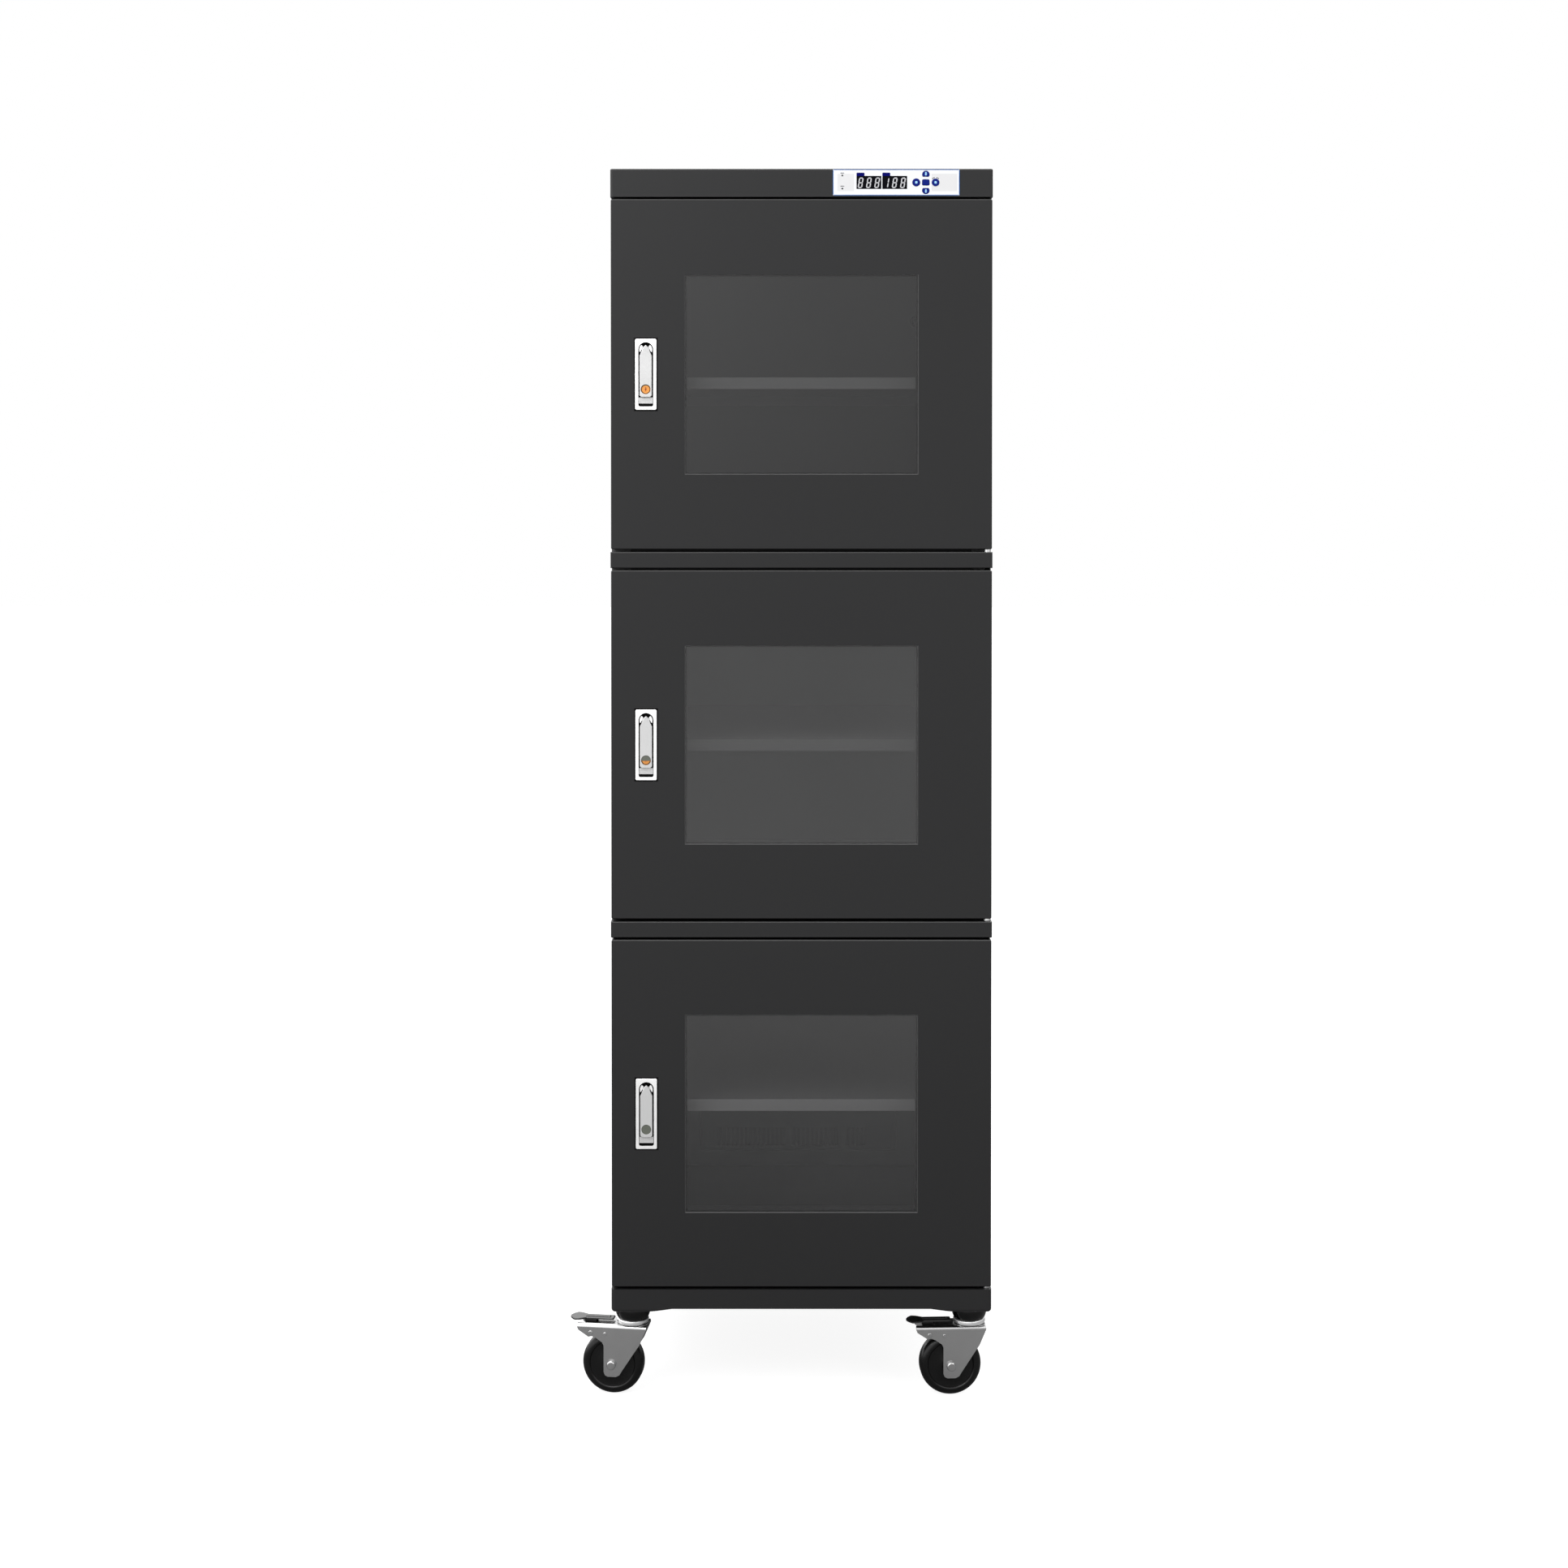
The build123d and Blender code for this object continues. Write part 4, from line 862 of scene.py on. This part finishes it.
class DRYCAB_OT_doors(bpy.types.Operator):
    """Add each window's chamfer and the bright ears and key details of each lock."""

    bl_idname = "drycab.doors"
    bl_label = "Doors"

    def execute(self, context):
        for door in DOORS:
            glass_low, glass_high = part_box(f"{door}_door_glass")
            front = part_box(f"{door}_door_skin")[0].y
            lap = 24 * MM
            bm = bmesh.new()
            sloped_frame(
                bm, (glass_low + glass_high) / 2, glass_high.x - glass_low.x - lap,
                glass_high.z - glass_low.z - lap, front + 0.1 * MM, glass_low.y, 1.1 * MM,
            )
            # The chamfer wears the trim finish, painted lighter than the door coat: a painted highlight.
            finish_piece(f"{door}_window_edge", bm, "trim", f"{door}_door", smooth=False)
            self.add_key_details(door)
            self.add_ears(door)
        return {"FINISHED"}

    def add_ears(self, door):
        """Two bright lens-shaped ears on the turning head, one each side of the handle's point."""
        low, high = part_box(f"{door}_lock_housing")
        radius, proud = 10.0 * MM, 0.5 * MM
        x, z = (low.x + high.x) / 2, (low.z + high.z) / 2 + RECESS_HALF_HEIGHT - RECESS_HALF_WIDTH
        top, bend, foot = (4.7 * MM, 6.9 * MM), (5.4 * MM, 0.5 * MM), (9.1 * MM, -4.1 * MM)
        rim = arc(0, 0, radius, -24, 46, 12)
        inner = []
        for step in range(1, 9):
            t = step / 9
            weights = ((1 - t) ** 2, 2 * t * (1 - t), t * t)
            inner.append(tuple(sum(w * p[i] for w, p in zip(weights, (top, bend, foot))) for i in (0, 1)))
        bm = bmesh.new()
        for side in (1, -1):
            ring = [bm.verts.new((x + side * u, low.y - proud, z + v)) for u, v in rim + inner]
            face = bm.faces.new(ring)
            body = bmesh.ops.extrude_face_region(bm, geom=[face], use_keep_orig=True)
            moved = [part for part in body["geom"] if isinstance(part, bmesh.types.BMVert)]
            bmesh.ops.translate(bm, verts=moved, vec=(0, 1.2 * proud, 0))
        finish_piece(f"{door}_lock_ears", bm, "ear", f"{door}_lock_head", smooth=False)

    def add_key_details(self, door):
        low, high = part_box(f"{door}_key_plug")
        radius, skin = (high.x - low.x) / 2, 0.1 * MM
        centre = Vector(((low.x + high.x) / 2, low.y, (low.z + high.z) / 2))
        bm = bmesh.new()
        # Painted shade: a dark ring just inside the plug's edge stands for the gap round the plug.
        inner, outer = radius - 1.5 * MM, radius - 0.5 * MM
        outline = [(inner, 0), (outer, 0), (outer, -skin), (inner, -skin)]
        spin_profile(bm, outline, centre, (0, 1, 0), (1, 0, 0), 64)
        finish_piece(f"{door}_key_rim", bm, "key_rim", f"{door}_key")
        # Painted shade: a dark red disc in the plug's middle stands for the keyway.
        bm = bmesh.new()
        front_disc(bm, centre.x, centre.z, 1.5 * MM, low.y - skin, 2 * skin)
        finish_piece(f"{door}_key_slot", bm, "key_dot", f"{door}_key")


# ---- casters ------------------------------------------------------------------------------------
def caster_axis(caster):
    """Centre of a caster's wheel and the direction of its axle, from its roll joint."""
    joint = next(j for j in frame["joints"] if j["child"] == f"{caster}_caster_wheel")
    return Vector(joint["pos_m"]), Vector(joint["axis"]).normalized()


class DRYCAB_OT_wheels(bpy.types.Operator):
    """Turn the four rubber wheels, with round shoulders, a mould seam, a dished web and a hub."""

    bl_idname = "drycab.wheels"
    bl_label = "Wheels"

    def execute(self, context):
        for caster in CASTERS:
            low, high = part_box(f"wheel_{caster}")
            centre, axle = caster_axis(caster)
            rim = (high.z - low.z) / 2 / MM
            half = 16.0
            inner, round_off = rim - 10.0, 10.0
            side = [
                (5.1, half + 2.4), (12.4, half + 2.4), (13.0, half + 1.8), (14.2, half - 1.1),
                (15.2, half - 1.6), (34.6, half - 2.8), (35.6, half - 2.6), (36.8, half - 1.0),
                (37.8, half - 0.25),
            ]
            shoulder = arc(inner, half - round_off, round_off, 90, 0, 12)
            seam = [(rim, 0.5), (rim - 0.25, 0.3)]
            top = side + shoulder + seam
            outline = top + [(r, -a) for r, a in reversed(top)]
            bm = bmesh.new()
            spin_profile(bm, [(r * MM, a * MM) for r, a in outline], centre, axle, (0, 0, 1))
            wheel = finish_piece(
                f"rubber_wheel_{caster}", bm, "rubber", f"{caster}_caster_wheel"
            )
            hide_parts(f"wheel_{caster}")
        return {"FINISHED"}


# ---- stage --------------------------------------------------------------------------------------
PHOTO_SIZE = 1932.0
FOCAL_PIXELS = 2945.0
EYE_POINT = (960.0, 626.0)
SENSOR = 36.0


class DRYCAB_OT_stage(bpy.types.Operator):
    """Add the floor, the soft light and the camera."""

    bl_idname = "drycab.stage"
    bl_label = "Stage"

    def execute(self, context):
        self.add_floor()
        self.light_world(context.scene)
        self.add_lamps()
        self.add_camera(context.scene)
        context.scene.view_settings.view_transform = "Standard"
        return {"FINISHED"}

    def add_floor(self):
        bm = bmesh.new()
        bmesh.ops.create_grid(bm, x_segments=1, y_segments=1, size=30)
        bmesh.ops.translate(bm, verts=bm.verts, vec=(0, 0, -0.2 * MM))
        mesh = bpy.data.meshes.new("floor")
        bm.to_mesh(mesh)
        bm.free()
        floor = bpy.data.objects.new("floor", mesh)
        bpy.context.scene.collection.objects.link(floor)
        made, nodes, links, shader = blank_material("floor_white")
        shader.inputs["Base Color"].default_value = (0.36, 0.36, 0.36, 1)
        shader.inputs["Roughness"].default_value = 0.8
        shader.inputs["Specular IOR Level"].default_value = 0.1
        path = nodes.new("ShaderNodeLightPath")
        place = nodes.new("ShaderNodeTexCoord")
        axes = nodes.new("ShaderNodeSeparateXYZ")
        links.new(place.outputs["Object"], axes.inputs[0])
        # Painted reflection: for glossy rays the floor glows, from nothing at y = -1.4 m to 0.85 at y = -4.4
        # m, so doors and glass mirror a lit floor.
        far = nodes.new("ShaderNodeMapRange")
        far.inputs["From Min"].default_value = -1.4
        far.inputs["From Max"].default_value = -4.4
        far.inputs["To Max"].default_value = 0.85
        links.new(axes.outputs["Y"], far.inputs["Value"])
        mirrored = nodes.new("ShaderNodeMath")
        mirrored.operation = "MULTIPLY"
        links.new(path.outputs["Is Glossy Ray"], mirrored.inputs[0])
        links.new(far.outputs[0], mirrored.inputs[1])
        lift = nodes.new("ShaderNodeMath")
        lift.operation = "MULTIPLY_ADD"
        lift.inputs[1].default_value = 0.88
        links.new(path.outputs["Is Camera Ray"], lift.inputs[0])
        links.new(mirrored.outputs[0], lift.inputs[2])
        shader.inputs["Emission Color"].default_value = (1, 1, 1, 1)
        links.new(lift.outputs[0], shader.inputs["Emission Strength"])
        mesh.materials.append(made)

    def light_world(self, scene):
        world = bpy.data.worlds.new("studio")
        scene.world = world
        world.use_nodes = True
        nodes, links = world.node_tree.nodes, world.node_tree.links
        back = nodes["Background"]
        path = nodes.new("ShaderNodeLightPath")
        place = nodes.new("ShaderNodeTexCoord")
        slope = nodes.new("ShaderNodeVectorMath")
        slope.operation = "DOT_PRODUCT"
        slope.inputs[1].default_value = (-0.7, 0, 1)
        links.new(place.outputs["Generated"], slope.inputs[0])
        sky = nodes.new("ShaderNodeMapRange")
        sky.inputs["From Min"].default_value = -0.1
        sky.inputs["From Max"].default_value = 0.6
        sky.inputs["To Min"].default_value = 0.35
        sky.inputs["To Max"].default_value = 2.4
        links.new(slope.outputs["Value"], sky.inputs["Value"])
        mirrored = nodes.new("ShaderNodeMix")
        mirrored.inputs[2].default_value = 0.60
        links.new(path.outputs["Is Glossy Ray"], mirrored.inputs[0])
        links.new(sky.outputs[0], mirrored.inputs[3])
        seen = nodes.new("ShaderNodeMath")
        seen.operation = "MAXIMUM"
        links.new(path.outputs["Is Camera Ray"], seen.inputs[0])
        links.new(path.outputs["Is Transmission Ray"], seen.inputs[1])
        level = nodes.new("ShaderNodeMix")
        level.inputs[3].default_value = 1.0
        links.new(seen.outputs[0], level.inputs[0])
        links.new(mirrored.outputs[0], level.inputs[2])
        back.inputs["Color"].default_value = (1, 1, 1, 1)
        links.new(level.outputs[0], back.inputs["Strength"])

    def add_lamps(self):
        lamps = (
            ("key_softbox", (-1.9, -3.0, 3.6), (0, 0, 1.3), 2.4, 92.0),
            ("fill_softbox", (2.8, -3.0, 2.8), (0, 0, 1.2), 2.4, 38.0),
            ("top_softbox", (0, 0.4, 4.2), (0, 0, 1.0), 2.6, 45.0),
            ("rear_softbox", (0.8, 3.6, 2.8), (0, 0, 1.0), 2.6, 40.0),
        )
        for name, place, target, size, power in lamps:
            lamp = bpy.data.lights.new(name, "AREA")
            lamp.size = size
            lamp.energy = power
            lamp_object = bpy.data.objects.new(name, lamp)
            lamp_object.location = place
            aim = Vector(target) - Vector(place)
            lamp_object.rotation_euler = aim.to_track_quat("-Z", "Y").to_euler()
            bpy.context.scene.collection.objects.link(lamp_object)

    def add_camera(self, scene):
        view = settings("stage")
        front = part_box("base_pan")[0].y
        camera = bpy.data.cameras.new("camera")
        camera.sensor_width = SENSOR
        camera.lens = SENSOR * FOCAL_PIXELS / PHOTO_SIZE
        axis_y = EYE_POINT[1] + FOCAL_PIXELS * math.tan(view.tilt)
        camera.shift_x = (PHOTO_SIZE / 2 - EYE_POINT[0]) / PHOTO_SIZE
        camera.shift_y = -(PHOTO_SIZE / 2 - axis_y) / PHOTO_SIZE
        camera.clip_end = 100
        holder = bpy.data.objects.new("camera", camera)
        holder.location = (-35 * MM, front - view.distance, view.height)
        holder.rotation_euler = (math.pi / 2 - view.tilt, 0, 0)
        scene.collection.objects.link(holder)
        scene.camera = holder


# ---- add-on plumbing ----------------------------------------------------------------------------
GROUPS = {
    "paint": DRYCAB_PG_paint, "metal": DRYCAB_PG_metal, "panel": DRYCAB_PG_panel, "stage": DRYCAB_PG_stage,
}
STEPS = (
    DRYCAB_OT_finishes, DRYCAB_OT_control_strip, DRYCAB_OT_doors, DRYCAB_OT_wheels, DRYCAB_OT_stage,
)


class DRYCAB_PT_panel(bpy.types.Panel):
    """Lists the cabinet's settings and steps."""

    bl_idname = "DRYCAB_PT_panel"
    bl_label = "Dry Cabinet"
    bl_space_type = "VIEW_3D"
    bl_region_type = "UI"
    bl_category = "Dry Cabinet"

    def draw(self, context):
        for kind, group in GROUPS.items():
            box = self.layout.box()
            box.label(text=kind.capitalize())
            for setting in group.__annotations__:
                box.prop(settings(kind), setting)
        for step in STEPS:
            self.layout.operator(step.bl_idname)


CLASSES = (*GROUPS.values(), *STEPS, DRYCAB_PT_panel)


def register():
    for cls in CLASSES:
        bpy.utils.register_class(cls)
    for kind, group in GROUPS.items():
        setattr(bpy.types.Scene, f"drycab_{kind}", PointerProperty(type=group))


def unregister():
    for kind in GROUPS:
        delattr(bpy.types.Scene, f"drycab_{kind}")
    for cls in reversed(CLASSES):
        bpy.utils.unregister_class(cls)


def main():
    register()
    for step in STEPS:
        getattr(bpy.ops.drycab, step.bl_idname.split(".")[1])()


if __name__ == "__main__":
    main()
